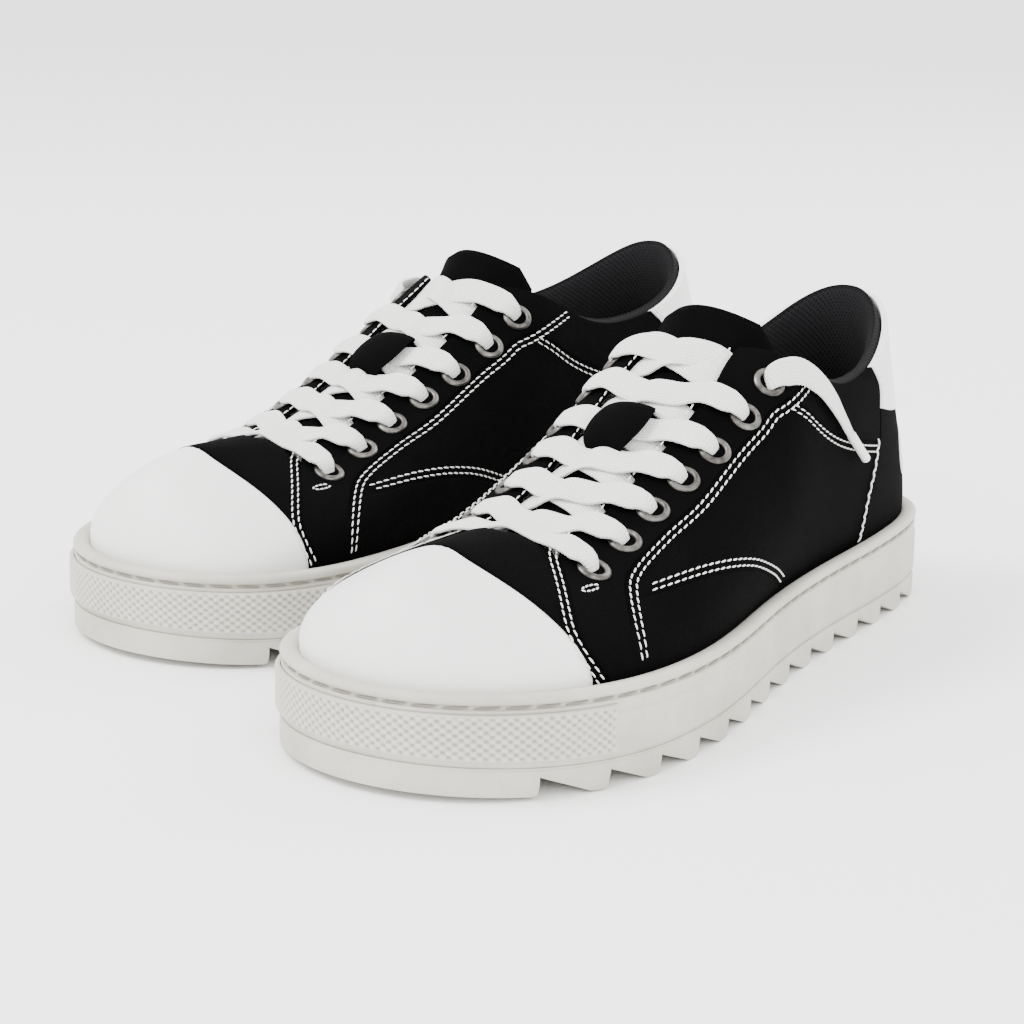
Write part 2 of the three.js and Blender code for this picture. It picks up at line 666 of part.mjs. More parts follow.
function onTongue(x, y, height) {
  const { point, normal } = tongueFrame(x, y);
  return point.addScaledVector(normal, height);
}

function tonguePiece(from, to, lines, widthAt) {
  const place = (height) => (s, t) => {
    const y = THREE.MathUtils.lerp(from, to, t);
    return onTongue((2 * s - 1) * widthAt(t), y, height);
  };
  return slab(6, lines, place(0), place(-tongueThickness));
}

const tongueStart = -94 * alongScale;
const tongueEnd = 19.5 * alongScale;
const widthNearTop = (t) => tongueHalfWidth - 4 * t ** 4;
const tongue = () => tonguePiece(tongueStart, tongueFold - 0.25, 9, widthNearTop);
const tongueTop = () => tonguePiece(tongueFold + 0.25, tongueEnd, 2, (t) => widthNearTop(1) - 5 * t * t);

const rowY = (row) => eyelet(1, row).centre.y;
const lowLevel = 1.0 + laceThickness / 2;
const highLevel = lowLevel + laceThickness + ply + 0.3;

function laceKeeper() {
  const [front, back] = [rowY(3), rowY(4)];
  const middle = (front + back) / 2;
  const reach = (back - front) / 2 - 0.45;
  const skin = (lift) => (s, t) => {
    const angle = Math.PI * (1 - t);
    const half = keeperWidth / 2 + 2.5 * Math.sin(angle);
    const height = 0.35 + (keeperRise - 0.35) * Math.sin(angle) ** 0.45;
    const grow = lift * Math.cos(angle);
    return onTongue((2 * s - 1) * half, middle + reach * Math.cos(angle) + grow, height + lift * Math.sin(angle));
  };
  return slab(2, 10, skin(0.9), skin(0));
}

// A flat band through knots of centre, width direction and width.
function band(knots, thickness) {
  const path = new THREE.CatmullRomCurve3(knots.map(([point]) => point), false, 'centripetal');
  const last = knots.length - 1;
  const rings = knots.map(([centre, direction, width], k) => {
    const tangent = path.getTangent(k / last);
    const wide = direction.clone().addScaledVector(tangent, -direction.dot(tangent)).normalize();
    const thin = new THREE.Vector3().crossVectors(tangent, wide);
    return [[-1, -1], [1, -1], [1, 1], [-1, 1]].map(([a, b]) => centre.clone()
      .addScaledVector(wide, (a * width) / 2).addScaledVector(thin, (b * thickness) / 2));
  });
  const faces = [[0, 2, 1], [0, 3, 2]];
  const end = last * 4;
  faces.push([end, end + 1, end + 2], [end, end + 2, end + 3]);
  for (let k = 0; k < last; k += 1) {
    for (let i = 0; i < 4; i += 1) {
      const [a, b] = [k * 4 + i, k * 4 + ((i + 1) % 4)];
      faces.push([a, b, b + 4], [a, b + 4, a + 4]);
    }
  }
  return facingOut(fromTriangles(rings.flat(), faces));
}

const underFacing = -(upperThickness + ply + stripThickness + 0.95 + laceThickness / 2);
const underEdge = -(upperThickness + 0.5 + laceThickness / 2);
const overFacing = 1.1 + 0.45 + laceThickness / 2;
const laceSlope = 0.28;         // how much a crossing lace runs along the shoe for each mm across

// A point over or under the facing, a reach inboard of an eyelet and a little forward or back.
function nearEyelet(side, row, reach, height, shift = 0) {
  const { centre } = eyelet(side, row);
  const plan = [centre.x - side * reach, centre.y + shift];
  return onUpper(...placeUnder(plan, sided(side, eyeletPlaces[row])), height);
}

// Knots of the lace going down through an eyelet from the throat, or up through it when reversed.
// On top it comes from the row in front, and underneath it goes on to the row behind.
function dive(side, row) {
  const { along } = eyelet(side, row);
  const wide = along.y < 0 ? along.clone().negate() : along.clone();
  const slope = row > 0 ? -laceSlope : 0;
  return [
    [nearEyelet(side, row, 11.5, overFacing - 0.2, 11.5 * slope), wide, laceWidth],
    [nearEyelet(side, row, 6, overFacing, 6 * slope), wide, laceWidth * 0.9],
    [nearEyelet(side, row, 2.2, overFacing + 0.4, 2.2 * slope), wide, laceBunch * 1.2],
    [nearEyelet(side, row, 0.3, overFacing - 0.6), wide, laceBunch],
    [nearEyelet(side, row, 0.1, underFacing + 1.4), wide, laceBunch],
    [nearEyelet(side, row, 1.6, underFacing), wide, laceBunch * 1.1],
    [nearEyelet(side, row, 6, underFacing, 6 * laceSlope), wide, laceWidth * 0.8],
    [nearEyelet(side, row, 11.5, underEdge, 11.5 * laceSlope), wide, laceWidth],
  ];
}

// Knots over the tongue between one side at a row and the other side at the next row.
function crossing(side, row, onTop) {
  const [from, to] = [rowY(row), rowY(row + 1)];
  const level = [lowLevel, onTop ? highLevel : lowLevel, highLevel];
  return [7, 0, -8].map((x, k) => {
    const { point, normal, run } = tongueFrame(side * x, THREE.MathUtils.lerp(from, to, 0.5 - x / 52));
    return [point.addScaledVector(normal, level[k]), run, laceWidth];
  });
}

const lastRow = eyeletPlaces.length - 1;

function lace() {
  const { along } = eyelet(-1, lastRow);
  const wide = along.y < 0 ? along.clone().negate() : along.clone();
  const knots = innerEnd.map((drop) => [eyelet(-1, lastRow).centre.clone().add(drop), wide, laceBunch]);
  knots.push(...dive(-1, lastRow).slice(0, 5).reverse());
  let side = 1;
  for (let row = lastRow - 1; row >= 0; row -= 1) {
    knots.push(...crossing(side, row, side < 0).reverse(), ...dive(side, row).reverse());
    side = -side;
  }
  for (const x of [-9, 0, 9]) {
    knots.push([onTongue(x, rowY(0), lowLevel + 2.6), tongueFrame(x, rowY(0)).run, laceWidth]);
  }
  side = 1;
  for (let row = 0; row < lastRow; row += 1) {
    knots.push(...dive(side, row));
    knots.push(...crossing(side, row, side < 0));
    side = -side;
  }
  knots.at(-1)[0] = onTongue(9, rowY(lastRow) - 5, lowLevel);
  const across = dive(1, lastRow).at(-1)[1];
  knots.push([nearEyelet(1, lastRow, 9, underEdge - 0.6, -2.5), across, laceWidth * 0.8]);
  knots.push([nearEyelet(1, lastRow, 4, underFacing - 0.2, -1), across, laceBunch * 1.3]);
  return band(knots, laceThickness);
}

function tube(route, radius, sides) {
  const section = new THREE.Shape(new THREE.EllipseCurve(0, 0, radius, radius).getPoints(sides).slice(0, sides));
  const extrudePath = new THREE.LineCurve3(...route);
  return new THREE.ExtrudeGeometry(section, { steps: 1, extrudePath, curveSegments: 1 });
}

const innerAglet = () => tube(innerAgletRoute.map((drop) => eyelet(-1, lastRow).centre.clone().add(drop)), agletRadius, 8);
const outerAglet = () => tube(agletRoute.map(([x, y, z]) => new THREE.Vector3(x, y, z)), agletRadius, 8);

function laceTail() {
  const { along } = eyelet(1, lastRow);
  const wide = along.y < 0 ? along.clone().negate() : along.clone();
  const knots = tailRoute.map(([x, y, z, width], k) => [
    new THREE.Vector3(x, y, z), k < 3 ? wide : tailSide, width,
  ]);
  return band(knots, laceThickness);
}

// ---- assembly -------------------------------------------------------------------------------

const finishes = {
  offWhiteRubber: { color: 0xe4e2da, roughness: 0.62, metalness: 0 },
  foam: { color: 0xd8d4c8, roughness: 0.9, metalness: 0 },
  board: { color: 0xb9a98c, roughness: 0.85, metalness: 0 },
  whiteLeather: { color: 0xf0efec, roughness: 0.42, metalness: 0 },
  blackCanvas: { color: 0x0d0d0f, roughness: 0.9, metalness: 0 },
  blackMesh: { color: 0x0b0b0d, roughness: 0.95, metalness: 0 },
  stiffener: { color: 0x6d675c, roughness: 0.8, metalness: 0 },
  whiteLace: { color: 0xf4f4f2, roughness: 0.85, metalness: 0 },
  clearSheath: { color: 0xeeeeea, roughness: 0.3, metalness: 0 },
  agedSilver: { color: 0x8c877f, roughness: 0.38, metalness: 1 },
};

const pieces = {
  tread_outsole: [treadOutsole(), 'offWhiteRubber'],
  cupsole: [cupsole(), 'offWhiteRubber'],
  toe_bumper: [toeBumper(), 'offWhiteRubber'],
  midsole_foam: [midsoleFoam(), 'foam'],
  insole_board: [insoleBoard(), 'board'],
  footbed: [footbed(), 'blackMesh'],
  toe_cap: [toeCap(), 'whiteLeather'],
  toe_puff: [toePuff(), 'stiffener'],
  vamp: [vamp(), 'blackCanvas'],
  eyestay_lateral: [eyestay(1), 'blackCanvas'],
  eyestay_medial: [eyestay(-1), 'blackCanvas'],
  quarter_lateral: [quarter(1), 'blackCanvas'],
  quarter_medial: [quarter(-1), 'blackCanvas'],
  side_patch_lateral: [sidePatch(1), 'blackCanvas'],
  side_patch_medial: [sidePatch(-1), 'blackCanvas'],
  collar_lateral: [collar(1), 'blackCanvas'],
  collar_medial: [collar(-1), 'blackCanvas'],
  heel_counter: [heelCounter(), 'blackCanvas'],
  heel_tab: [heelTab(), 'whiteLeather'],
  collar_lining: [collarLining(), 'blackMesh'],
  heel_stiffener: [heelStiffener(), 'stiffener'],
  tongue: [tongue(), 'blackCanvas'],
  tongue_top: [tongueTop(), 'blackCanvas'],
  lace_keeper: [laceKeeper(), 'blackCanvas'],
  lace: [lace(), 'whiteLace'],
  lace_tail: [laceTail(), 'whiteLace'],
  aglet: [outerAglet(), 'clearSheath'],
  aglet_inner: [innerAglet(), 'clearSheath'],
  eyelet_row_lateral: [eyeletRow(1), 'agedSilver'],
  eyelet_row_medial: [eyeletRow(-1), 'agedSilver'],
};

function shoe(prefix) {
  const group = new THREE.Group();
  for (const [name, [geometry, finish]] of Object.entries(pieces)) {
    const mesh = new THREE.Mesh(geometry, new THREE.MeshStandardMaterial(finishes[finish]));
    mesh.name = `${prefix}_${name}`;
    group.add(mesh);
  }
  return group;
}

const leftShoe = shoe('left');
const rightShoe = shoe('right');
rightShoe.scale.x = -1;
rightShoe.rotation.z = THREE.MathUtils.degToRad(pairTurn);
rightShoe.position.set(...pairShift, 0);

const pair = new THREE.Group();
pair.add(leftShoe, rightShoe);
const around = new THREE.Box3().setFromObject(pair, true).getCenter(new THREE.Vector3());
for (const one of pair.children) one.position.add(new THREE.Vector3(-around.x, -around.y, 0));

export default pair;
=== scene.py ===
"""A pair of low lace-up sneakers with a thick cupsole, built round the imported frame.

Sizes inside the classes are millimetres in the left shoe's own frame: +Z is up and the toe points
along -Y. The right shoe is the left one mirrored, turned a little and set back.
"""

import logging
import math
from dataclasses import dataclass, field
from enum import Enum
from typing import Callable, ClassVar, Iterable, Optional, Sequence, Union

import bpy
import numpy as np
from mathutils import Matrix, Vector


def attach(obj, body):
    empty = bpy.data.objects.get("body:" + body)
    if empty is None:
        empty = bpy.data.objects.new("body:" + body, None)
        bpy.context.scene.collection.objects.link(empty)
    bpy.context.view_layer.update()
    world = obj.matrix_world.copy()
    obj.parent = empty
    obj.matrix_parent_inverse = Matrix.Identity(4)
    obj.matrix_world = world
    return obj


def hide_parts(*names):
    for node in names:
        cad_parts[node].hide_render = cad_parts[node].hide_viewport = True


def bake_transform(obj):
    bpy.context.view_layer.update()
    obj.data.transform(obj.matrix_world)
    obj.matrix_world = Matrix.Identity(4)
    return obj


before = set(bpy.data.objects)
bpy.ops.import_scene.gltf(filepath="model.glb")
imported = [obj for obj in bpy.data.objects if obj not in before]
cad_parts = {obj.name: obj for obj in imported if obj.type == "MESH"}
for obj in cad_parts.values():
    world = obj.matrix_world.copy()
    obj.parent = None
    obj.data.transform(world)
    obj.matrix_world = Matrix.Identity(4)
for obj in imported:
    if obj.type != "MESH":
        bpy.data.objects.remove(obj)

logging.basicConfig(level=logging.INFO, format="%(message)s")
log = logging.getLogger("sneakers")

Array = np.ndarray
Knots = Sequence[tuple[float, float]]
Place = Callable[[Array, Array], tuple[Array, Array]]

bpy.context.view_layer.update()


# ---- where the two shoes stand ----


@dataclass(frozen=True)
class Stance:
    """Where one shoe of the pair stands, and whether it is mirrored."""

    side: str
    mirrored: bool
    turn_deg: float
    shift: tuple[float, float]

    def to_world(self, points: Array) -> Array:
        """Moves points of the shoe's own frame to the row frame.

        Args:
            points: millimetres, in the last axis x, y, z.

        Returns:
            The same points in metres, in the row frame.
        """
        moved = np.array(points, float)
        if self.mirrored:
            moved[..., 0] = -moved[..., 0]
        angle = math.radians(self.turn_deg)
        x, y = moved[..., 0].copy(), moved[..., 1].copy()
        moved[..., 0] = x * math.cos(angle) - y * math.sin(angle) + self.shift[0]
        moved[..., 1] = x * math.sin(angle) + y * math.cos(angle) + self.shift[1]
        return moved / 1000


LEFT = Stance("left", False, 0.0, (69.01, -23.29))
RIGHT = Stance("right", True, -5.3, (-61.49, 27.31))


# ---- the last ----

# One line per station: outsole plan, two belly points and the top point of the upper.
OUTSIDE = (
    ((-6, 152.5), (-5, 143, 50), (-4, 132, 74), (-4, 127, 107)),
    ((13, 148), (12, 139, 50), (9, 128, 74), (7, 124, 106)),
    ((25, 130), (23, 122, 49), (20, 114, 71), (17, 114, 99)),
    ((30, 105), (30, 101, 48), (28, 94, 67), (24, 95, 90)),
    ((33, 78), (35, 77, 47), (34, 74, 65), (28, 77, 86)),
    ((35, 52), (38, 51, 47), (39, 49, 66), (31, 54, 86)),
    ((38.5, 26), (42, 26, 47), (44, 24, 70), (31, 36, 94)),
    ((43.5, 0), (47, 2, 47), (46, 12, 82), (28, 22, 103)),
    ((50.5, -26), (51, -24, 47), (40, 5, 93), (0, 6, 103)),
    ((56.5, -53), (55, -50, 46), (32.5, -22, 74.5), (0, -19, 88)),
    ((58.5, -82), (57, -78, 44), (29, -47, 58.5), (0, -43, 75.5)),
    ((54, -109), (52, -104, 44), (31.5, -70, 47), (0, -66, 66)),
    ((41, -133), (39, -127, 46), (27, -98, 54), (0, -92, 63)),
    ((20, -149.5), (20, -143, 47), (14, -128, 60), (0, -111, 63.5)),
)
TOE = ((-4, -154), (-4, -149, 47), (-4, -141, 61), (0, -122, 62))
INSIDE = (
    ((-24, 151.5), (-22, 140, 50), (-18, 129, 74), (-14, 124, 106)),
    ((-37, 137), (-34, 127, 49), (-30, 117, 71), (-25, 115, 99)),
    ((-40, 112), (-39, 106, 48), (-36, 98, 67), (-30, 97, 90)),
    ((-39.5, 84), (-39, 80, 47), (-37, 76, 65), (-31, 77, 86)),
    ((-38.5, 56), (-39, 54, 47), (-39, 50, 66), (-32, 54, 86)),
    ((-38.5, 28), (-39, 28, 47), (-42, 24, 70), (-31, 36, 94)),
    ((-41, 0), (-42, 0, 47), (-44, 12, 82), (-28, 22, 103)),
    ((-45.5, -28), (-46, -26, 47), (-40, 5, 93), (0, 6, 103)),
    ((-51, -55), (-51, -52, 46), (-32.5, -22, 74.5), (0, -19, 88)),
    ((-55, -83), (-54, -79, 44), (-29, -47, 58.5), (0, -43, 75.5)),
    ((-55.5, -110), (-54, -105, 44), (-31.5, -70, 47), (0, -66, 66)),
    ((-47, -134), (-45, -128, 46), (-28, -98, 54), (0, -92, 63)),
    ((-27, -149), (-26, -144, 47), (-17, -128, 60), (0, -111, 63.5)),
)


def unit(vectors: Array) -> Array:
    """Vectors of length one, along the last axis."""
    return vectors / np.maximum(np.linalg.norm(vectors, axis=-1, keepdims=True), 1e-12)


def smooth_step(low: float, high: float, value: Union[float, Array]) -> Array:
    """A soft step from 0 at low to 1 at high."""
    share = np.clip((np.asarray(value, float) - low) / (high - low), 0, 1)
    return share * share * (3 - 2 * share)


@dataclass
class Last:
    """The foot-shaped body that both sole and upper are drawn on."""

    half_length: float = 152.0
    lip_height: float = 28.7
    lip_rise: float = 2.2
    toe_spring: float = 2.6
    feather_inset: float = 5.9
    embed: float = 6.0
    stations: Array = field(init=False)

    def __post_init__(self) -> None:
        """Fills the station rows: the plan, the feather line, the two bellies and the top."""
        table = [*OUTSIDE, TOE, *reversed(INSIDE)]
        self.count = len(table)
        self.toe = len(OUTSIDE)
        self.plan = np.array([[*row[0], 0.0] for row in table])
        bellies = [np.array([row[k] for row in table], float) for k in (1, 2, 3)]
        feather = self.inset(self.plan, self.feather_inset)
        feather[:, 2] = self.lip_at(feather[:, 1]) + 0.3
        self.stations = np.stack([feather, *bellies])

    def lip_at(self, y: Array) -> Array:
        """Height of the top of the sidewall at a place along the shoe."""
        return self.lip_height + self.lip_rise * (y / self.half_length) ** 2

    def spring_at(self, y: Array) -> Array:
        """Height of the ground line of the sole, which leaves the floor at the toe."""
        return self.toe_spring * 5 * np.maximum(0, -y / self.half_length - 0.55) ** 2

    @staticmethod
    def inset(ring: Array, distance: Union[float, Array]) -> Array:
        """Points of a clockwise closed ring moved inwards in plan.

        Args:
            ring: points in mm, in order round the shoe.
            distance: mm inwards, one for all or one for each.

        Returns:
            The moved points.
        """
        run = unit((np.roll(ring, -1, 0) - np.roll(ring, 1, 0)) * [1, 1, 0])
        inward = np.stack([run[:, 1], -run[:, 0], np.zeros(len(ring))], 1)
        return ring + inward * np.reshape(distance, (-1, 1))

    def blend(self, values: Array, u: Array) -> Array:
        """Closed uniform cubic B-spline through the stations.

        Args:
            values: one row per station.
            u: station numbers, of any shape.

        Returns:
            Blended values, with one axis more than u.
        """
        u = np.asarray(u, float)
        cell = np.floor(u).astype(int)
        t = u - cell
        weights = np.stack(
            [(1 - t) ** 3, 3 * t**3 - 6 * t**2 + 4, -3 * t**3 + 3 * t**2 + 3 * t + 1, t**3], -1
        )
        index = (cell[..., None] + np.arange(-1, 3)) % self.count
        return (values[index] * weights[..., None] / 6).sum(-2)

    def raw(self, c: Array, w: Array) -> Array:
        """Surface point at station c and girth w: 0 outside feather, 1 top line, 2 inside feather.

        Args:
            c: station numbers.
            w: girths, 0 to 2.

        Returns:
            Points in mm.
        """
        c, w = np.broadcast_arrays(np.asarray(c, float), np.asarray(w, float))
        u = np.where(w > 1, self.count - c, c)
        girth = np.where(w > 1, 2 - w, w)
        v = np.maximum(girth, 0)[..., None]
        feather, low, high, top = (self.blend(row, u) for row in self.stations)
        point = feather * (1 - v) ** 3 + 3 * low * v * (1 - v) ** 2 + 3 * high * v * v * (1 - v)
        point = point + top * v**3
        point[..., 2] += np.minimum(girth, 0) * self.embed * 10
        return point

    def point(self, c: Array, w: Array) -> Array:
        """Surface point with the ridge over the toes rounded off.

        Args:
            c: station numbers.
            w: girths, 0 to 2.

        Returns:
            Points in mm.
        """
        c, w = np.broadcast_arrays(np.asarray(c, float), np.asarray(w, float))
        spread = 0.07 * smooth_step(0.4, 0, np.abs(w - 1)) * smooth_step(8.6, 10.5, c)
        weights = np.array([1, 4, 8, 10, 8, 4, 1], float)
        total = sum(
            weight * self.raw(c, w + k * spread) for k, weight in zip(range(-3, 4), weights)
        )
        return total / weights.sum()

    def normal(self, c: Array, w: Array) -> Array:
        """Outward normal of the surface.

        Args:
            c: station numbers.
            w: girths, 0 to 2.

        Returns:
            Vectors of length one.
        """
        step = 0.004
        w = np.clip(w, step, 2 - step)
        ridge = (np.abs(w - 1) < 2 * step) & (np.asarray(c) < 8.6)
        w = np.where(ridge, np.where(w <= 1, 1 - 2 * step, 1 + 2 * step), w)
        along = self.point(c + step, w) - self.point(c - step, w)
        up = self.point(c, w + step) - self.point(c, w - step)
        return unit(np.cross(up, along))

    def lifted(self, c: Array, w: Array, height: Union[float, Array]) -> Array:
        """Surface point moved out along the normal by a height."""
        height = np.asarray(height, float)
        return self.point(c, w) + self.normal(c, w) * (height[..., None] if height.ndim else height)

    def place_under(self, x: float, y: float, guess: tuple[float, float]) -> tuple[float, float]:
        """Station and girth of the surface point over a plan position, from a near guess.

        Args:
            x: place across the shoe, in mm.
            y: place along the shoe, in mm.
            guess: station and girth near it.

        Returns:
            Station and girth.
        """
        c, w = guess
        for _ in range(8):
            here = self.point(c, w)
            by_c = (self.point(c + 0.01, w) - here) / 0.01
            by_w = (self.point(c, w + 0.001) - here) / 0.001
            dx, dy = x - here[0], y - here[1]
            size = by_c[0] * by_w[1] - by_c[1] * by_w[0]
            c, w = (
                float(c + (dx * by_w[1] - dy * by_w[0]) / size),
                float(w + (by_c[0] * dy - by_c[1] * dx) / size),
            )
        return c, w

    def place_on(self, target: Array, guess: tuple[float, float]) -> tuple[float, float]:
        """Station and girth of the surface point nearest to a target, from a near guess.

        Args:
            target: point in mm.
            guess: station and girth near it.

        Returns:
            Station and girth.
        """
        c, w = guess
        for _ in range(10):
            here = self.point(c, w)
            by_c = (self.point(c + 0.01, w) - here) / 0.01
            by_w = (self.point(c, w + 0.002) - here) / 0.002
            step, *_ = np.linalg.lstsq(np.stack([by_c, by_w], 1), target - here, rcond=None)
            c, w = float(c + step[0]), float(w + step[1])
        return c, w


LAST = Last()


# ---- curves and places ----


def catmull(knots: Array, t: Array) -> Array:
    """Uniform Catmull-Rom spline through knots, with t from 0 to 1 and straight ends beyond.

    Args:
        knots: points that the curve goes through, two or more.
        t: places along the curve.

    Returns:
        Points on the curve.
    """
    knots = np.asarray(knots, float)
    t = np.asarray(t, float)
    inner = np.clip(t, 0, 1)
    span = len(knots) - 1
    cell = np.minimum(np.floor(inner * span).astype(int), span - 1)
    f = (inner * span - cell)[..., None]
    p0, p1 = knots[np.maximum(cell - 1, 0)], knots[cell]
    p2, p3 = knots[cell + 1], knots[np.minimum(cell + 2, span)]
    v0, v1 = (p2 - p0) / 2, (p3 - p1) / 2
    point = (
        (2 * p1 - 2 * p2 + v0 + v1) * f**3
        + (-3 * p1 + 3 * p2 - 2 * v0 - v1) * f**2
        + v0 * f
        + p1
    )
    before = (knots[1] - knots[0]) * span
    after = (knots[-1] - knots[-2]) * span
    return point + np.minimum(t, 0)[..., None] * before + np.maximum(t - 1, 0)[..., None] * after


def between(bottom: Knots, top: Knots, left: Knots, right: Knots) -> Place:
    """Coons patch between four plan curves, each a list of [station, girth] knots.

    Args:
        bottom: curve at t = 0.
        top: curve at t = 1.
        left: curve at s = 0.
        right: curve at s = 1.

    Returns:
        The place as a function.
    """

    def place(s: Array, t: Array) -> tuple[Array, Array]:
        """Station and girth at s and t.

        Args:
            s: 0 to 1 one way.
            t: 0 to 1 the other way.

        Returns:
            Station and girth.
        """
        fs, ft = s[..., None], t[..., None]
        ruled = (1 - ft) * catmull(bottom, s) + ft * catmull(top, s)
        ruled = ruled + (1 - fs) * catmull(left, t) + fs * catmull(right, t)
        corner = [np.asarray(k, float) for k in (bottom[0], bottom[-1], top[0], top[-1])]
        bilinear = (1 - fs) * (1 - ft) * corner[0] + fs * (1 - ft) * corner[1]
        bilinear = bilinear + (1 - fs) * ft * corner[2] + fs * ft * corner[3]
        found = ruled - bilinear
        return found[..., 0], found[..., 1]

    return place


def on_side(side: int, place: Place) -> Place:
    """The same place on the outside of the foot (side 1) or on its inside (side -1).

    Args:
        side: 1 outside the foot, -1 inside.
        place: the place on the outside of the foot.

    Returns:
        The place as a function.
    """

    def moved(s: Array, t: Array) -> tuple[Array, Array]:
        """Station and girth at s and t, on the wanted side.

        Args:
            s: 0 to 1 one way.
            t: 0 to 1 the other way.

        Returns:
            Station and girth.
        """
        c, w = place(s, t)
        w = np.minimum(w, 1 - 1e-7)
        return c, (w if side > 0 else 2 - w)

    return moved


def cap_seam(v: Array) -> Array:
    """Station of the edge of the toe cap at a girth."""
    return 11.05 + 0.9 * v + 1.15 * v * v


def height_over(t: Array) -> Array:
    """Girth from 0 at both feather lines to 1 on the ridge, rounded where the sides meet.

    Args:
        t: 0 at one feather line, 1 at the other.

    Returns:
        Girths.
    """
    rounding = 0.16
    away = np.abs(2 * t - 1)
    return 1 - (np.sqrt(away**2 + rounding**2) - rounding) / (math.hypot(1, rounding) - rounding)


FACING_REAR = (
    (6.05, 1), (7.0, 0.81), (7.45, 0.74), (7.97, 0.66), (9.03, 0.6), (9.85, 0.6), (10.45, 0.575),
    (10.68, 0.5), (10.66, 0.3), (10.4, 0),
)
FACING_FRONT = (
    (7.4, 1), (8.1, 0.86), (8.8, 0.82), (9.6, 0.82), (10.4, 0.82), (11.1, 0.815), (11.47, 0.72),
    (11.42, 0.34), (10.85, 0),
)
THROAT_FRONT = 11.85
COLLAR_SEAM = ((3.5, 0.6), (4.57, 0.7), (5.5, 0.765), (6.27, 0.8), (6.7, 0.807), (7.0, 0.81))
COUNTER_SEAM = ((3.8, 0), (3.92, 0.3), (3.5, 0.6))
TAB_CORNER = (3.3, 0.76)
TAB_SIDE = ((3.3, 0.76), (3.2, 0.87), (3.55, 1))
PATCH_TOP = ((6.6, 0.03), (7.1, 0.12), (7.79, 0.2), (8.53, 0.265), (9.43, 0.34), (10.55, 0.42))
EYELETS = (
    (11.05, 0.645), (10.39, 0.68), (9.78, 0.692), (9.18, 0.69), (8.6, 0.682), (7.95, 0.72),
    (7.3, 0.846),
)


# ---- meshes ----


@dataclass
class Shape:
    """A mesh in the left shoe's frame: points in mm, faces, and cloth coordinates in mm."""

    points: Array
    faces: list[tuple[int, ...]]
    cloth: Array

    @staticmethod
    def joined(shapes: Iterable["Shape"]) -> "Shape":
        """Several shapes as one.

        Args:
            shapes: shapes in the same frame.

        Returns:
            One shape.
        """
        shapes = list(shapes)
        faces: list[tuple[int, ...]] = []
        offset = 0
        for shape in shapes:
            faces += [tuple(i + offset for i in face) for face in shape.faces]
            offset += len(shape.points)
        return Shape(
            np.concatenate([shape.points for shape in shapes]),
            faces,
            np.concatenate([shape.cloth for shape in shapes]),
        )

    def outward(self) -> "Shape":
        """The same closed shape with its faces turned out.

        Returns:
            This shape.
        """
        total = 0.0
        for face in self.faces:
            a = self.points[face[0]]
            for i in range(1, len(face) - 1):
                total += float(a @ np.cross(self.points[face[i]], self.points[face[i + 1]]))
        if total < 0:
            self.faces = [face[::-1] for face in self.faces]
        return self


def grid_faces(rows: int, columns: int, offset: int, wrap: bool = False) -> list[tuple[int, ...]]:
    """Quads over a grid of points, row by row, closed over its columns with wrap.

    Args:
        rows: rows of points.
        columns: points in a row.
        offset: number of the first point.
        wrap: whether the last column joins the first.

    Returns:
        Faces as numbers of points.
    """
    faces = []
    last = columns if wrap else columns - 1
    for i in range(rows - 1):
        for j in range(last):
            k = (j + 1) % columns
            a, b = offset + i * columns + j, offset + i * columns + k
            faces.append((a, b, b + columns, a + columns))
    return faces


def cloth_of(points: Array) -> Array:
    """Cloth coordinates of a grid of points: millimetres along its columns and rows.

    Args:
        points: grid of points, rows by columns.

    Returns:
        One row for each point.
    """
    along = np.linalg.norm(np.diff(points, axis=0), axis=2).mean(1)
    across = np.linalg.norm(np.diff(points, axis=1), axis=2).mean(0)
    u = np.concatenate([[0], np.cumsum(along)])
    v = np.concatenate([[0], np.cumsum(across)])
    grid = np.stack(np.broadcast_arrays(u[:, None], v[None, :], np.zeros((1, 1))), -1)
    return grid.reshape(-1, 3)


def slab(outer: Array, inner: Array) -> Shape:
    """Closed body between two grids of points.

    Args:
        outer: grid of points of the face.
        inner: grid of points of the back, of the same size.

    Returns:
        The closed body.
    """
    rows, columns = outer.shape[:2]
    half = rows * columns
    faces = grid_faces(rows, columns, 0)
    faces += [face[::-1] for face in grid_faces(rows, columns, half)]
    rim = [i * columns for i in range(rows)]
    rim += [(rows - 1) * columns + j for j in range(1, columns)]
    rim += [i * columns + columns - 1 for i in range(rows - 2, -1, -1)]
    rim += list(range(columns - 2, 0, -1))
    for a, b in zip(rim, rim[1:] + rim[:1]):
        faces.append((b, a, a + half, b + half))
    cloth = cloth_of(outer)
    points = np.concatenate([outer.reshape(-1, 3), inner.reshape(-1, 3)])
    return Shape(points, faces, np.concatenate([cloth, cloth])).outward()


def tube(rings: Array, cloth: Optional[Array] = None, closed: bool = False) -> Shape:
    """Tube through rings of points, with flat ends, or closed on itself.

    Args:
        rings: rings of points, one after another.
        cloth: cloth coordinates, worked out when left out.
        closed: whether the last ring joins the first.

    Returns:
        The closed body.
    """
    count, sides = rings.shape[:2]
    points = rings.reshape(-1, 3)
    faces = grid_faces(count, sides, 0, wrap=True)
    if closed:
        for j in range(sides):
            k = (j + 1) % sides
            a, b = (count - 1) * sides + j, (count - 1) * sides + k
            faces.append((a, b, k, j))
    else:
        faces.append(tuple(range(sides - 1, -1, -1)))
        faces.append(tuple((count - 1) * sides + j for j in range(sides)))
    if cloth is None:
        cloth = cloth_of(rings)
    return Shape(points, faces, cloth).outward()


class Edge(Enum):
    """How a panel ends at one side."""

    OVER = "rounded edge on top of its neighbour"
    UNDER = "tucked in under its neighbour"
    SKIRT = "runs down inside the lip of the sole"


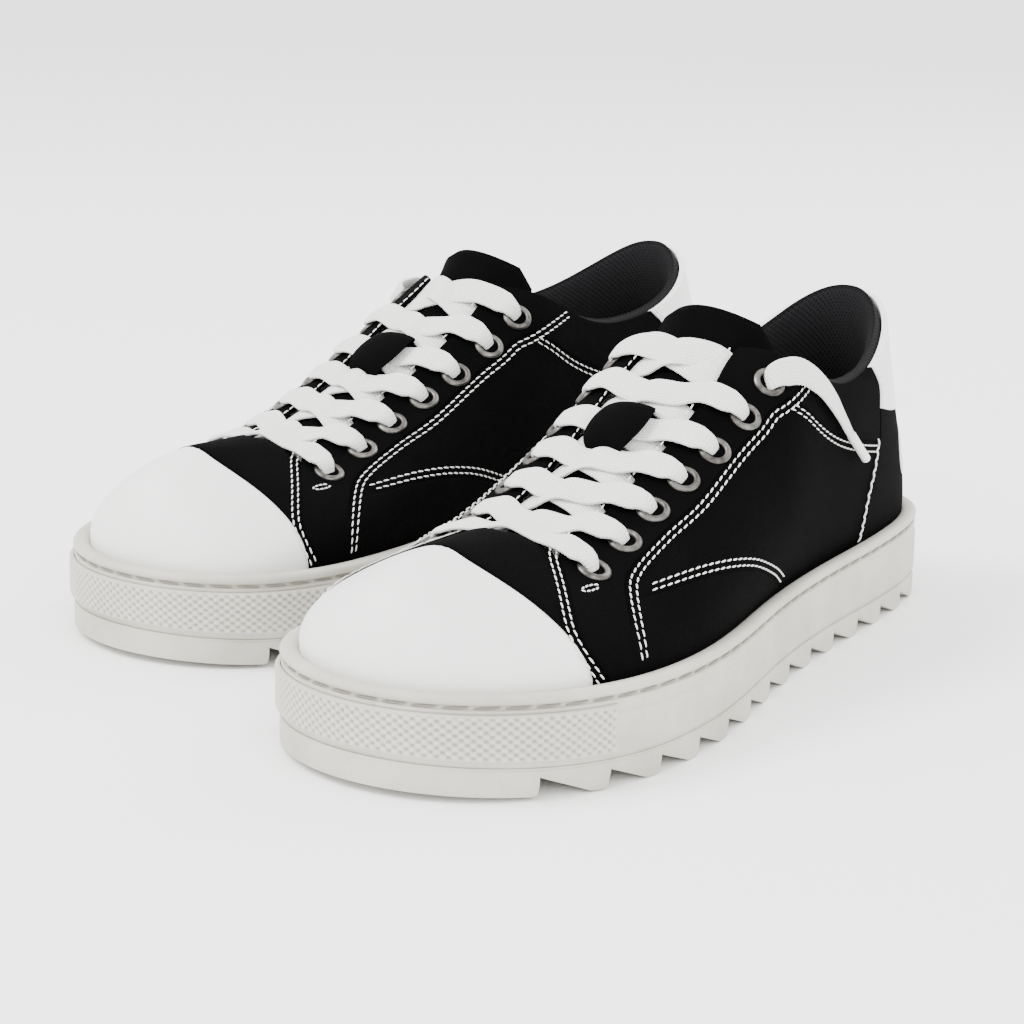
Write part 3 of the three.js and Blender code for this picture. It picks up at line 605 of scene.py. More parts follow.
@dataclass
class Panel:
    """One cut panel of the upper, drawn on the last.

    place gives station and girth, s runs along and t across; edges are those at s=0, s=1, t=0, t=1.
    """

    place: Place
    edges: tuple[Edge, Edge, Edge, Edge]
    top: float = 0.0
    thickness: float = 1.1
    step: float = 2.6
    bulge: float = 0.0

    ROUND: ClassVar[Knots] = ((0.0, 0.55), (0.12, 0.26), (0.32, 0.09), (0.65, 0.0))
    TUCK: ClassVar[float] = 2.5
    TUCK_DROP: ClassVar[float] = 0.75

    def _line(self, length: float, low: Edge, high: Edge) -> tuple[Array, Array]:
        """Parameters over one direction with the drop of the face at each of them.

        Args:
            length: length of the panel that way, in mm.
            low: how the panel ends at 0.
            high: how it ends at 1.

        Returns:
            Parameters from 0 to 1, and drops in mm.
        """
        count = max(3, int(round(length / self.step)))
        start = [(0.0, 0.0)]
        if low is Edge.OVER:
            start = [(d / length, drop) for d, drop in self.ROUND]
        end = [(1.0, 0.0)]
        if high is Edge.OVER:
            end = [(1 - d / length, drop) for d, drop in reversed(self.ROUND)]
        inner = np.linspace(start[-1][0], end[0][0], count + 1)[1:-1]
        params = [a for a, _ in start] + list(inner) + [a for a, _ in end]
        drops = [d for _, d in start] + [0.0] * len(inner) + [d for _, d in end]
        return np.array(params), np.array(drops)

    def _size(self) -> tuple[float, float]:
        """Mean lengths of the panel over s and over t.

        Returns:
            Lengths in mm.
        """
        s, t = np.meshgrid(np.linspace(0, 1, 13), np.linspace(0, 1, 9), indexing="ij")
        points = LAST.point(*self.place(s, t))
        over_s = np.linalg.norm(np.diff(points, axis=0), axis=2).sum(0).mean()
        over_t = np.linalg.norm(np.diff(points, axis=1), axis=2).sum(1).mean()
        return float(over_s), float(over_t)

    def build(self) -> Shape:
        """The panel as a closed body.

        Returns:
            The closed body.
        """
        size_s, size_t = self._size()
        s, drop_s = self._line(size_s, self.edges[0], self.edges[1])
        t, drop_t = self._line(size_t, self.edges[2], self.edges[3])
        grid_s, grid_t = np.meshgrid(s, t, indexing="ij")
        c, w = self.place(grid_s, grid_t)
        drop = np.maximum(drop_s[:, None], drop_t[None, :])
        swell = self.bulge * np.sin(np.pi * grid_s) * np.sin(np.pi * grid_t)
        face = LAST.point(c, w)
        normal = LAST.normal(c, w)
        outer = face + normal * (self.top - drop + swell)[..., None]
        inner = face + normal * (self.top - self.thickness)
        for axis, at, edge in zip((0, 0, 1, 1), (0, -1, 0, -1), self.edges):
            outer, inner = self._extended(outer, inner, axis, at, edge)
        return slab(outer, inner)

    def _extended(
        self, outer: Array, inner: Array, axis: int, at: int, edge: Edge
    ) -> tuple[Array, Array]:
        """Adds the tucked or sunk border of one side.

        Args:
            outer: grid of the face.
            inner: grid of the back.
            axis: direction that the side ends.
            at: 0 for the side at the start, -1 for the one at the end.
            edge: how the panel ends there.

        Returns:
            Both grids, longer by the border.
        """
        if edge is Edge.OVER:
            return outer, inner
        rows = []
        for grid in (outer, inner):
            rim = np.take(grid, at, axis)
            near = np.take(grid, 1 if at == 0 else -2, axis)
            if edge is Edge.SKIRT:
                rows.append([rim + [0, 0, -LAST.embed]])
                continue
            away = unit(rim - near)
            down = unit(np.take(inner, at, axis) - np.take(outer, at, axis))
            middle = rim + away * 0.3 * self.TUCK + down * self.TUCK_DROP * 0.7
            rows.append([middle, rim + away * self.TUCK + down * self.TUCK_DROP])
        grown = []
        for grid, added in zip((outer, inner), rows):
            extra = np.stack(added if at == -1 else added[::-1], axis)
            parts = (grid, extra) if at == -1 else (extra, grid)
            grown.append(np.concatenate(parts, axis))
        return grown[0], grown[1]


def resampled(path: Array, step: float) -> Array:
    """Points at equal distances along a polyline.

    Args:
        path: points in order, with any number of columns.
        step: wanted distance between them.

    Returns:
        The new points.
    """
    lengths = np.concatenate([[0], np.cumsum(np.linalg.norm(np.diff(path, axis=0), axis=1))])
    count = max(2, int(round(lengths[-1] / step)) + 1)
    wanted = np.linspace(0, lengths[-1], count)
    return np.stack([np.interp(wanted, lengths, path[:, k]) for k in range(path.shape[1])], 1)


@dataclass(frozen=True)
class StitchRow:
    """A row of stitches: pitch, length of the thread that shows, its radius and its lift."""

    pitch: float = 3.0
    length: float = 2.25
    radius: float = 0.27
    lift: float = 0.12
    slant_deg: float = 7.0
    zigzag: bool = False

    def along(self, path: Array, normals: Array) -> Shape:
        """Stitches along a path on a surface.

        Args:
            path: points in mm.
            normals: the surface's normal at each of them.

        Returns:
            All the stitches as one shape.
        """
        both = resampled(np.concatenate([path, normals], 1), self.pitch / 2)
        points, ups = both[:, :3], unit(both[:, 3:])
        stitches = []
        for i in range(1, len(points) - 1, 2):
            run = unit(points[i + 1] - points[i - 1])
            up = unit(ups[i] - run * (ups[i] @ run))
            side = np.cross(up, run)
            flip = -1 if self.zigzag and i % 4 == 1 else 1
            angle = math.radians(self.slant_deg) * flip
            run = run * math.cos(angle) + side * math.sin(angle)
            side = np.cross(up, run)
            stitches.append(self._one(points[i] + up * self.lift, run, side, up))
        return Shape.joined(stitches)

    def _one(self, centre: Array, run: Array, side: Array, up: Array) -> Shape:
        """One stitch: a short twisted thread that dips at both ends.

        Args:
            centre: middle of the stitch.
            run: direction of the thread.
            side: direction across it.
            up: direction out of the cloth.

        Returns:
            The closed body.
        """
        rings = []
        for share in (-1.0, -0.8, -0.35, 0.35, 0.8, 1.0):
            radius = self.radius * (1 - 0.75 * abs(share) ** 5)
            sink = -0.55 * self.radius * abs(share) ** 3
            middle = centre + run * (share * self.length / 2) + up * sink
            angles = np.arange(6) * math.tau / 6
            rings.append(
                middle
                + radius * (np.cos(angles)[:, None] * side + 0.8 * np.sin(angles)[:, None] * up)
            )
        return tube(np.array(rings))


def seam_path(
    place: Callable[[Array], tuple[Array, Array]], offset: float, height: float, count: int = 90
) -> tuple[Array, Array]:
    """Path on the upper beside a seam.

    Args:
        place: station and girth along the seam, from 0 to 1.
        offset: millimetres to the left of the seam, seen from outside.
        height: millimetres over the last.

    Returns:
        Points and normals.
    """
    t = np.linspace(0, 1, count)
    c, w = place(t)
    points, normals = LAST.point(c, w), LAST.normal(c, w)
    run = unit(np.gradient(points, axis=0))
    side = unit(np.cross(normals, run))
    return points + side * offset + normals * height, normals


def knots_place(knots: Knots, side: int) -> Callable[[Array], tuple[Array, Array]]:
    """Place along a list of [station, girth] knots on one side of the foot.

    Args:
        knots: [station, girth] pairs.
        side: 1 outside the foot, -1 inside.

    Returns:
        The place as a function.
    """

    def place(t: Array) -> tuple[Array, Array]:
        """Station and girth at t.

        Args:
            t: 0 to 1 the other way.

        Returns:
            Station and girth.
        """
        found = catmull(knots, t)
        w = np.minimum(found[..., 1], 1 - 1e-7)
        return found[..., 0], (w if side > 0 else 2 - w)

    return place


# ---- shader maths ----


class Signal:
    """A number or colour that flows through a material's nodes."""

    def __init__(self, tree: bpy.types.NodeTree, socket: bpy.types.NodeSocket) -> None:
        """Wraps one output socket."""
        self.tree = tree
        self.socket = socket

    def _math(self, operation: str, first: "Term", second: "Term") -> "Signal":
        """Adds a Math node on two terms.

        Args:
            operation: operation of the node.
            first: first term.
            second: second term.

        Returns:
            The result of the node.
        """
        node = self.tree.nodes.new("ShaderNodeMath")
        node.operation = operation
        for socket, term in zip(node.inputs, (first, second)):
            if isinstance(term, Signal):
                self.tree.links.new(term.socket, socket)
            else:
                socket.default_value = term
        return Signal(self.tree, node.outputs[0])

    def __add__(self, other: "Term") -> "Signal":
        """Sum."""
        return self._math("ADD", self, other)

    def __radd__(self, other: float) -> "Signal":
        """Sum with a number in front."""
        return self._math("ADD", other, self)

    def __sub__(self, other: "Term") -> "Signal":
        """Difference."""
        return self._math("SUBTRACT", self, other)

    def __rsub__(self, other: float) -> "Signal":
        """Difference from a number."""
        return self._math("SUBTRACT", other, self)

    def __mul__(self, other: "Term") -> "Signal":
        """Product."""
        return self._math("MULTIPLY", self, other)

    def __rmul__(self, other: float) -> "Signal":
        """Product with a number in front."""
        return self._math("MULTIPLY", other, self)

    def sine(self) -> "Signal":
        """Sine of the value."""
        return self._math("SINE", self, 0.0)

    def size(self) -> "Signal":
        """Absolute value."""
        return self._math("ABSOLUTE", self, 0.0)


Term = Union[Signal, float]
Colour = tuple[float, float, float]


class Recipe:
    """A material under construction, with its principled shader."""

    def __init__(self, name: str) -> None:
        """Starts an empty node material.

        Args:
            name: name of the material.
        """
        self.material = bpy.data.materials.new(name)
        self.material.use_nodes = True
        self.tree = self.material.node_tree
        self.shader = self.tree.nodes["Principled BSDF"]

    def node(self, kind: str, settings: dict, inputs: dict, output: Union[int, str] = 0) -> Signal:
        """Adds any node: its settings first, then its sockets.

        Args:
            kind: the node's type.
            settings: attributes of the node.
            inputs: values or signals by socket name or number.
            output: the socket wanted back.

        Returns:
            That output as a signal.
        """
        node = self.tree.nodes.new(kind)
        for key, value in settings.items():
            setattr(node, key, value)
        for key, value in inputs.items():
            if isinstance(value, Signal):
                self.tree.links.new(value.socket, node.inputs[key])
            else:
                node.inputs[key].default_value = value
        return Signal(self.tree, node.outputs[output])

    def feed(self, **sockets: Union[Signal, float, Colour]) -> None:
        """Feeds the shader: Base_Color=signal, Roughness=0.5 and so on.

        Args:
            sockets: value or signal for each socket of the shader.
        """
        for key, value in sockets.items():
            socket = self.shader.inputs[key.replace("_", " ")]
            if isinstance(value, Signal):
                self.tree.links.new(value.socket, socket)
            elif isinstance(value, tuple):
                socket.default_value = (*value, 1)
            else:
                socket.default_value = value

    def cloth(self) -> tuple[Signal, Signal]:
        """Millimetres along and across the piece, from its cloth coordinates.

        Returns:
            The two coordinates.
        """
        where = self.node("ShaderNodeAttribute", {"attribute_name": "cloth"}, {}, "Vector")
        split = self.node("ShaderNodeSeparateXYZ", {}, {0: where}, 0)
        return split, Signal(self.tree, split.socket.node.outputs[1])

    def position(self) -> Signal:
        """Object position in metres."""
        return self.node("ShaderNodeTexCoord", {}, {}, "Object")

    def noise(self, scale: float, detail: float = 3.0, rough: float = 0.55) -> Signal:
        """Noise from 0 to 1 over the object's position.

        Args:
            scale: scale of the noise, in cells to the metre.
            detail: number of finer layers.
            rough: strength of the finer layers.

        Returns:
            The noise.
        """
        return self.node(
            "ShaderNodeTexNoise",
            {},
            {"Vector": self.position(), "Scale": scale, "Detail": detail, "Roughness": rough},
        )

    def cells(self, scale: float, feature: str = "F1") -> Signal:
        """Cell pattern distance over the object's position.

        Args:
            scale: cells to the metre.
            feature: what the distance is measured to.

        Returns:
            The distance.
        """
        return self.node(
            "ShaderNodeTexVoronoi",
            {"feature": feature},
            {"Vector": self.position(), "Scale": scale},
            "Distance",
        )

    def mix(self, factor: Signal, first: Colour, second: Colour) -> Signal:
        """Colour between two others."""
        sockets = {0: factor, 6: (*first, 1), 7: (*second, 1)}
        return self.node("ShaderNodeMix", {"data_type": "RGBA"}, sockets, 2)

    def stretched(self, value: Signal, low: float, high: float) -> Signal:
        """Value mapped so that low becomes 0 and high becomes 1, and kept between them.

        Args:
            value: signal to map.
            low: value that becomes 0.
            high: value that becomes 1.

        Returns:
            The mapped value.
        """
        return self.node(
            "ShaderNodeMapRange", {"clamp": True}, {"Value": value, 1: low, 2: high}
        )

    def bump(self, height: Signal, distance: float, strength: float = 1.0) -> None:
        """Feeds the normal from a height of so many metres.

        Args:
            height: height signal.
            distance: metres that a height of 1 stands for.
            strength: share of the effect.
        """
        normal = self.node(
            "ShaderNodeBump", {}, {"Height": height, "Distance": distance, "Strength": strength},
            "Normal",
        )
        self.feed(Normal=normal)


MADE: dict[str, bpy.types.Material] = {}


@dataclass(frozen=True)
class Finish:
    """A finish: its name, the record's slot and its basic colours and roughness."""

    name: str
    slot: str
    dark: Colour
    light: Colour
    roughness: float

    def material(self) -> bpy.types.Material:
        """The finish as a material, made once.

        Returns:
            The material.
        """
        if self.name not in MADE:
            MADE[self.name] = self.make()
        return MADE[self.name]

    def make(self) -> bpy.types.Material:
        """Builds the nodes; each kind of finish has its own."""
        raise NotImplementedError


@dataclass(frozen=True)
class Weave(Finish):
    """Woven cloth: threads over and under, with a soft nap."""

    thread: float = 0.42
    relief: float = 0.00009
    gloss: float = 0.02

    def make(self) -> bpy.types.Material:
        """Plain weave in cloth coordinates.

        Returns:
            The material.
        """
        recipe = Recipe(self.name)
        along, across = recipe.cloth()
        warp = (along * (math.pi / self.thread)).sine()
        weft = (across * (math.pi / self.thread)).sine()
        weave = warp * weft * 0.5 + 0.5
        fuzz = recipe.noise(2600, 2)
        broad = recipe.noise(28, 3)
        tone = recipe.stretched(weave * 0.35 + fuzz * 0.35 + broad * 0.3, 0.3, 0.72)
        recipe.feed(
            Base_Color=recipe.mix(tone, self.dark, self.light),
            Roughness=recipe.stretched(fuzz, 0, 1) * 0.14 + (self.roughness - 0.07),
            Specular_IOR_Level=self.gloss,
        )
        recipe.bump(weave + fuzz * 0.5, self.relief)
        return recipe.material


@dataclass(frozen=True)
class Braid(Finish):
    """Flat woven lace: ribs that slant both ways from the middle."""

    rib: float = 1.05

    def make(self) -> bpy.types.Material:
        """Herringbone ribs in cloth coordinates, with fine fibres.

        Returns:
            The material.
        """
        recipe = Recipe(self.name)
        along, across = recipe.cloth()
        slant = along + (across - 5.1).size() * 0.9
        ribs = (slant * (math.tau / self.rib)).sine() * 0.5 + 0.5
        rows = (across * (math.tau / 1.2)).sine() * 0.5 + 0.5
        fibre = recipe.noise(1900, 3)
        tone = recipe.stretched(ribs * 0.4 + rows * 0.25 + fibre * 0.5, 0.2, 0.85)
        recipe.feed(
            Base_Color=recipe.mix(tone, self.dark, self.light),
            Roughness=self.roughness,
            Sheen_Weight=0.2,
            Specular_IOR_Level=0.2,
        )
        recipe.bump(ribs * 0.6 + rows * 0.6 + fibre * 0.6, 0.00022)
        return recipe.material


@dataclass(frozen=True)
class Leather(Finish):
    """Smooth coated leather with a fine grain."""

    grain: float = 1500.0

    def make(self) -> bpy.types.Material:
        """Fine cells and broad clouds.

        Returns:
            The material.
        """
        recipe = Recipe(self.name)
        cells = recipe.cells(self.grain, "DISTANCE_TO_EDGE")
        clouds = recipe.noise(22, 3)
        fine = recipe.noise(700, 3)
        recipe.feed(
            Base_Color=recipe.mix(recipe.stretched(clouds, 0.25, 0.75), self.dark, self.light),
            Roughness=fine * 0.12 + (self.roughness - 0.06),
            Specular_IOR_Level=0.4,
        )
        recipe.bump(recipe.stretched(cells, 0, 0.25) * 0.5 + fine, 0.00004)
        return recipe.material


@dataclass(frozen=True)
class Rubber(Finish):
    """Moulded rubber, matt, with faint marks."""

    def make(self) -> bpy.types.Material:
        """Soft stains and a fine moulded skin.

        Returns:
            The material.
        """
        recipe = Recipe(self.name)
        skin = recipe.noise(900, 3)
        stains = recipe.noise(35, 4, 0.6)
        specks = recipe.stretched(recipe.noise(330, 2), 0.67, 0.74)
        tone = recipe.stretched(stains, 0.3, 0.62) - specks * 0.5
        recipe.feed(
            Base_Color=recipe.mix(tone, self.dark, self.light),
            Roughness=skin * 0.2 + (self.roughness - 0.1),
            Specular_IOR_Level=0.35,
        )
        recipe.bump(skin, 0.00005)
        return recipe.material


@dataclass(frozen=True)
class KnurledRubber(Finish):
    """Moulded rubber with a relief of small diamonds, with shade painted into its hollows."""

    relief: float = 0.36

    def make(self) -> bpy.types.Material:
        """Painted shade: darker where the cloth coordinate, which holds the relief, is low, in the
        hollows.

        Returns:
            The material.
        """
        recipe = Recipe(self.name)
        _, height = recipe.cloth()
        skin = recipe.noise(900, 3)
        stains = recipe.noise(35, 4, 0.6)
        # Painted shade and light from the relief: 0 in the hollows of the diamonds, 1 on their tops.
        painted_relief_light = recipe.stretched(height, -self.relief, 0.4 * self.relief)
        # Tone: painted shade of the relief, with real stains over it.
        tone = recipe.stretched(painted_relief_light * 0.8 + stains * 0.4, 0.15, 1.0)
        recipe.feed(
            Base_Color=recipe.mix(tone, self.dark, self.light),
            Roughness=skin * 0.2 + (self.roughness - 0.1),
            Specular_IOR_Level=0.35,
        )
        recipe.bump(skin, 0.00005)
        return recipe.material


@dataclass(frozen=True)
class SpacerMesh(Finish):
    """Knitted spacer mesh with small round openings, with shade painted into them."""

    def make(self) -> bpy.types.Material:
        """Round openings in cloth coordinates, staggered, painted darker as shade.

        Returns:
            The material.
        """
        recipe = Recipe(self.name)
        along, across = recipe.cloth()
        rows = (across * (math.pi / 0.95)).sine()
        columns = (along * (math.pi / 1.1)).sine()
        knit = rows * columns
        open_part = recipe.stretched(knit, 0.25, 0.7)
        fuzz = recipe.noise(2200, 2)
        # Base colour: painted shade in the openings, darker where open_part is high, over fine fuzz.
        recipe.feed(
            Base_Color=recipe.mix(
                recipe.stretched(fuzz * 0.6 + 0.5 - open_part * 0.6, 0, 1), self.dark, self.light
            ),
            Roughness=self.roughness,
            Specular_IOR_Level=0.12,
        )
        recipe.bump(1 - open_part + fuzz * 0.3, 0.0003)
        return recipe.material


@dataclass(frozen=True)
class AgedMetal(Finish):
    """Plated metal, darkened in its hollows."""

    def make(self) -> bpy.types.Material:
        """Cloudy plating with fine scratches.

        Returns:
            The material.
        """
        recipe = Recipe(self.name)
        clouds = recipe.noise(260, 4)
        fine = recipe.noise(1800, 3)
        tone = recipe.stretched(clouds, 0.35, 0.65)
        recipe.feed(
            Base_Color=recipe.mix(tone, self.dark, self.light),
            Metallic=1.0,
            Roughness=fine * 0.25 + (self.roughness - 0.1),
        )
        recipe.bump(fine + clouds, 0.00003)
        return recipe.material


@dataclass(frozen=True)
class Thread(Finish):
    """Sewing thread with its twist."""

    def make(self) -> bpy.types.Material:
        """Fine uneven fibres.

        Returns:
            The material.
        """
        recipe = Recipe(self.name)
        fibre = recipe.noise(3200, 2)
        recipe.feed(
            Base_Color=recipe.mix(recipe.stretched(fibre, 0.3, 0.7), self.dark, self.light),
            Roughness=self.roughness,
            Specular_IOR_Level=0.3,
        )
        recipe.bump(fibre, 0.00012)
        return recipe.material


class Finishes:
    """All the finishes of the pair."""

    canvas = Weave(
        "cotton_canvas", "black_canvas",
        (0.0006, 0.0006, 0.0006), (0.0026, 0.0026, 0.0027), 0.92,
    )
    lining = SpacerMesh(
        "black_spacer_mesh", "black_mesh",
        (0.0009, 0.0009, 0.001), (0.011, 0.011, 0.012), 0.92,
    )
    leather = Leather(
        "coated_leather", "white_leather",
        (0.74, 0.745, 0.725), (0.8, 0.805, 0.785), 0.46,
    )
    rubber = Rubber(
        "moulded_rubber", "off_white_rubber",
        (0.4, 0.38, 0.325), (0.5, 0.48, 0.425), 0.62,
    )
    # Its dark colour is painted shade for the hollows of the bumper's diamonds; its light colour is the
    # rubber of the tops.
    knurl = KnurledRubber(
        "knurled_rubber", "off_white_rubber",
        (0.27, 0.255, 0.22), (0.53, 0.51, 0.455), 0.62,
    )
    lace = Braid(
        "white_twill", "white_lace",
        (0.56, 0.56, 0.54), (0.84, 0.84, 0.82), 0.88,
    )
    thread = Thread(
        "white_thread", "white_lace",
        (0.62, 0.62, 0.6), (0.82, 0.82, 0.8), 0.75,
    )
    # White thread painted dark: its colour is the painted shade of the groove under the lip.
    welt_thread_painted_shade = Thread(
        "welt_thread_painted_shade", "white_lace",
        (0.16, 0.15, 0.13), (0.27, 0.255, 0.225), 0.8,
    )
    metal = AgedMetal(
        "dulled_plating", "aged_silver",
        (0.05, 0.047, 0.043), (0.17, 0.162, 0.15), 0.38,
    )
    film = Leather(
        "sheath_film", "clear_sheath",
        (0.74, 0.74, 0.72), (0.84, 0.84, 0.82), 0.26, 300.0,
    )
    foam = Rubber(
        "filler_foam", "foam",
        (0.6, 0.58, 0.52), (0.72, 0.7, 0.64), 0.9,
    )
    board = Rubber(
        "lasting_board", "board",
        (0.3, 0.24, 0.16), (0.42, 0.35, 0.25), 0.85,
    )
    stiffener = Rubber(
        "moulded_stiffener", "stiffener",
        (0.14, 0.13, 0.11), (0.2, 0.19, 0.17), 0.8,
    )


# ---- placing pieces ----


@dataclass
class Bench:
    """Puts shapes into the scene as pieces of one shoe."""

    stance: Stance

    @property
    def body(self) -> str:
        """The CAD body of this shoe."""
        return f"{self.stance.side}_shoe"

    def put(
        self,
        name: str,
        shape: Shape,
        finish: Finish,
        replaces: Sequence[str] = (),
        ride: bool = True,
        sharp_deg: float = 50.0,
    ) -> bpy.types.Object:
        """Makes an object of a shape and dresses it.

        Args:
            name: name of the piece, without the side.
            shape: its mesh in the left shoe's frame.
            finish: what it is made of.
            replaces: names of the CAD nodes it stands for, without the side.
            ride: whether it rides on the shoe's body now.
            sharp_deg: edges sharper than this stay sharp.

        Returns:
            The object.
        """
        side = self.stance.side
        full = f"{side}_{name}"
        mesh = bpy.data.meshes.new(full)
        faces = [face[::-1] for face in shape.faces] if self.stance.mirrored else shape.faces
        mesh.from_pydata(self.stance.to_world(shape.points).tolist(), [], faces)
        layer = mesh.attributes.new("cloth", "FLOAT_VECTOR", "POINT")
        layer.data.foreach_set("vector", shape.cloth.astype(np.float32).ravel())
        mesh.shade_smooth()
        mesh.set_sharp_from_angle(angle=math.radians(sharp_deg))
        mesh.materials.append(finish.material())
        piece = bpy.data.objects.new(full, mesh)
        bpy.context.scene.collection.objects.link(piece)
        for node in replaces:
            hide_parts(f"{side}_{node}")
        if ride:
            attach(piece, self.body)
        log.info("%s: %d faces", full, len(mesh.polygons))
        return piece


# ---- sole ----


@dataclass
class Sole:
    """Tread, cup, bumper and what lies in the cup."""

    lug_height: float = 5.6
    lug_pitch: float = 19.8
    lug_count: int = 14
    tread_top: float = 8.2
    steps: int = 336
    bumper_reach: float = 3.12
    groove_drop: float = 3.3
    ridge_drop: float = 8.2
    knurl_step: float = 0.52
    knurl_relief: float = 0.36

    def __post_init__(self) -> None:
        """Draws the dense outline of the sole."""
        u = np.arange(self.steps) * LAST.count / self.steps
        self.outline = LAST.blend(LAST.plan, u)

    def ring(self, inset: float, level: Callable[[Array], Array]) -> Array:
        """Closed ring, a distance inside the outline, at a height that varies along the shoe.

        Args:
            inset: mm inside the outline.
            level: height at places along the shoe.

        Returns:
            Points in mm.
        """
        points = LAST.inset(self.outline, inset)
        points[:, 2] = level(points[:, 1])
        return points

    def _lug_line(self) -> list[tuple[float, float]]:
        """Profile of the tread from heel to toe: place along the shoe and height.

        Returns:
            Pairs of y and z in mm.
        """
        heel = LAST.half_length - 2
        line = [(heel + 2.5, self.lug_height), (heel + 0.2, self.lug_height)]
        for k in range(self.lug_count):
            y = heel - k * self.lug_pitch
            line += [(y - 0.25, 2.6), (y - 0.5, 0.9), (y - 0.95, 0.25), (y - 1.7, 0.0)]
            line += [(y - 4.4, 0.0), (y - 5.8, 0.15), (y - 7.2, 0.75)]
            line += [(y - self.lug_pitch + 1.1, self.lug_height - 0.45)]
            line += [(y - self.lug_pitch + 0.35, self.lug_height - 0.05)]
        block = heel - self.lug_count * self.lug_pitch
        line += [(block, self.lug_height), (block - 0.15, 2.4), (block - 0.4, 0.7)]
        line += [(block - 0.9, 0.15), (block - 1.8, 0.0)]
        return line

    def tread(self) -> Shape:
        """Outsole with its saw-toothed lugs and plain front block.

        Returns:
            The closed body.
        """
        line = self._lug_line()
        low_y = float(self.outline[:, 1].min()) + 0.03
        high_y = float(self.outline[:, 1].max()) - 0.03
        ys = [y for y, _ in line if low_y < y < high_y]
        ys += list(low_y + 60 * np.linspace(0, 1, 40) ** 2.2)
        ys += list(high_y - 2.2 * np.linspace(0, 1, 7) ** 2)
        ys += list(np.linspace(-110, -80, 14))
        ys = np.unique(np.round(ys, 3))
        profile_y = np.array([y for y, _ in line])[::-1]
        profile_z = np.array([z for _, z in line])[::-1]
        height = np.interp(ys, profile_y, profile_z, left=0.0, right=self.lug_height)
        height = height + LAST.spring_at(ys)
        toe, heel = int(self.outline[:, 1].argmin()), int(self.outline[:, 1].argmax())
        ring = np.roll(self.outline, -heel, 0)
        split = (toe - heel) % self.steps
        outer, inner = ring[: split + 1][::-1], np.concatenate([ring[split:], ring[:1]])
        right = np.interp(ys, outer[:, 1], outer[:, 0])
        left = np.interp(ys, inner[:, 1], inner[:, 0])
        rows = []
        for y, z, a, b in zip(ys, height, left, right):
            top = self.tread_top + float(LAST.spring_at(np.array(y)))
            edge = min(0.5, max(0.05, (b - a) / 6))
            low = z
            section = [(a + 0.4, top), (a + 0.4, top - 0.5), (a, top - 0.8), (a, low + 0.5)]
            section += [(a + edge * 0.35, low + 0.13), (a + edge, low), (a + 3 * edge, low)]
            section += [(b - 3 * edge, low), (b - edge, low), (b - edge * 0.35, low + 0.13)]
            section += [(b, low + 0.5), (b, top - 0.8), (b - 0.4, top - 0.5), (b - 0.4, top)]
            rows.append([(x, y, min(h, top)) for x, h in section])
        return tube(np.array(rows))

    def cup(self) -> Shape:
        """Cup with its sidewall, ridge line, stitched groove and rolled lip.

        Returns:
            The closed body.
        """
        low, ridge, shoulder = self.tread_top, self.ridge_drop, self.groove_drop
        foot = [(2.0, 0.05), (0.75, 0.05), (0.55, 0.5), (0.55, 0.75), (0.12, 1.15), (0.0, 1.7)]
        bead = [(0.0, -0.7), (0.05, -0.25), (0.35, 0.0), (0.6, 0.3)]
        groove = [(0.5, -2.0), (0.35, -1.5), (0.45, -1.1), (1.35, -0.75), (1.5, 0.0), (0.95, 0.3)]
        profile: list[tuple[float, Callable[[Array], Array]]] = []
        profile += [(d, lambda y, r=rise: low + r + LAST.spring_at(y)) for d, rise in foot]
        profile += [(d, lambda y, r=rise: LAST.lip_at(y) - ridge + r) for d, rise in bead]
        profile += [(d, lambda y, r=rise: LAST.lip_at(y) - shoulder + r) for d, rise in groove]
        lip = [(0.35, 2.5), (0.05, 1.9), (0.1, 1.25), (0.5, 0.6), (1.2, 0.15), (2.2, 0.0)]
        lip += [(3.3, 0.08), (4.3, 0.4), (5.2, 1.0), (5.7, 1.8), (5.9, 3.4)]
        profile += [(d, lambda y, r=drop: LAST.lip_at(y) - r) for d, drop in lip]
        profile += [(6.1, lambda y: 0 * y + 13.5)]
        rings = np.array([self.ring(inset, level) for inset, level in profile])
        return tube(rings)

    def bumper(self) -> Shape:
        """Toe bumper with its field of small diamonds.

        Returns:
            The closed body.
        """
        dense = np.linspace(LAST.toe - self.bumper_reach, LAST.toe + self.bumper_reach, 900)
        path = LAST.blend(LAST.plan, dense)
        path = resampled(path, self.knurl_step)
        run = unit(np.gradient(path, axis=0))
        out = np.stack([-run[:, 1], run[:, 0], np.zeros(len(run))], 1)
        along = np.arange(len(path)) * self.knurl_step
        length = along[-1]
        low = self.tread_top + 1.9 + LAST.spring_at(path[:, 1])
        high = LAST.lip_at(path[:, 1]) - self.groove_drop - 2.1
        t = np.concatenate([[0, 0.012, 0.03], np.linspace(0.06, 0.94, 31), [0.97, 0.988, 1]])
        drop_t = np.interp(t, [0, 0.012, 0.03, 0.06], [0.85, 0.3, 0.1, 0])
        drop_t = np.maximum(drop_t, np.interp(1 - t, [0, 0.012, 0.03, 0.06], [0.85, 0.3, 0.1, 0]))
        ends = np.minimum(along, length - along)
        drop_s = np.interp(ends, [0, 0.3, 0.8, 1.2], [0.85, 0.3, 0.08, 0])
        z = low[:, None] + (high - low)[:, None] * t[None, :]
        up = z - low[:, None]
        diamonds = np.cos(math.tau * along[:, None] / 3.3) * np.cos(math.tau * up / 2.5)
        field_mask = smooth_step(1.0, 2.2, ends)[:, None]
        field_mask = field_mask * smooth_step(0.03, 0.08, t) * smooth_step(0.03, 0.08, 1 - t)
        relief = self.knurl_relief * np.clip(diamonds * 1.4, -1, 1) * field_mask
        offset = 0.95 + relief - np.maximum(drop_s[:, None], drop_t[None, :])
        outer = path[:, None, :] + out[:, None, :] * offset[..., None]
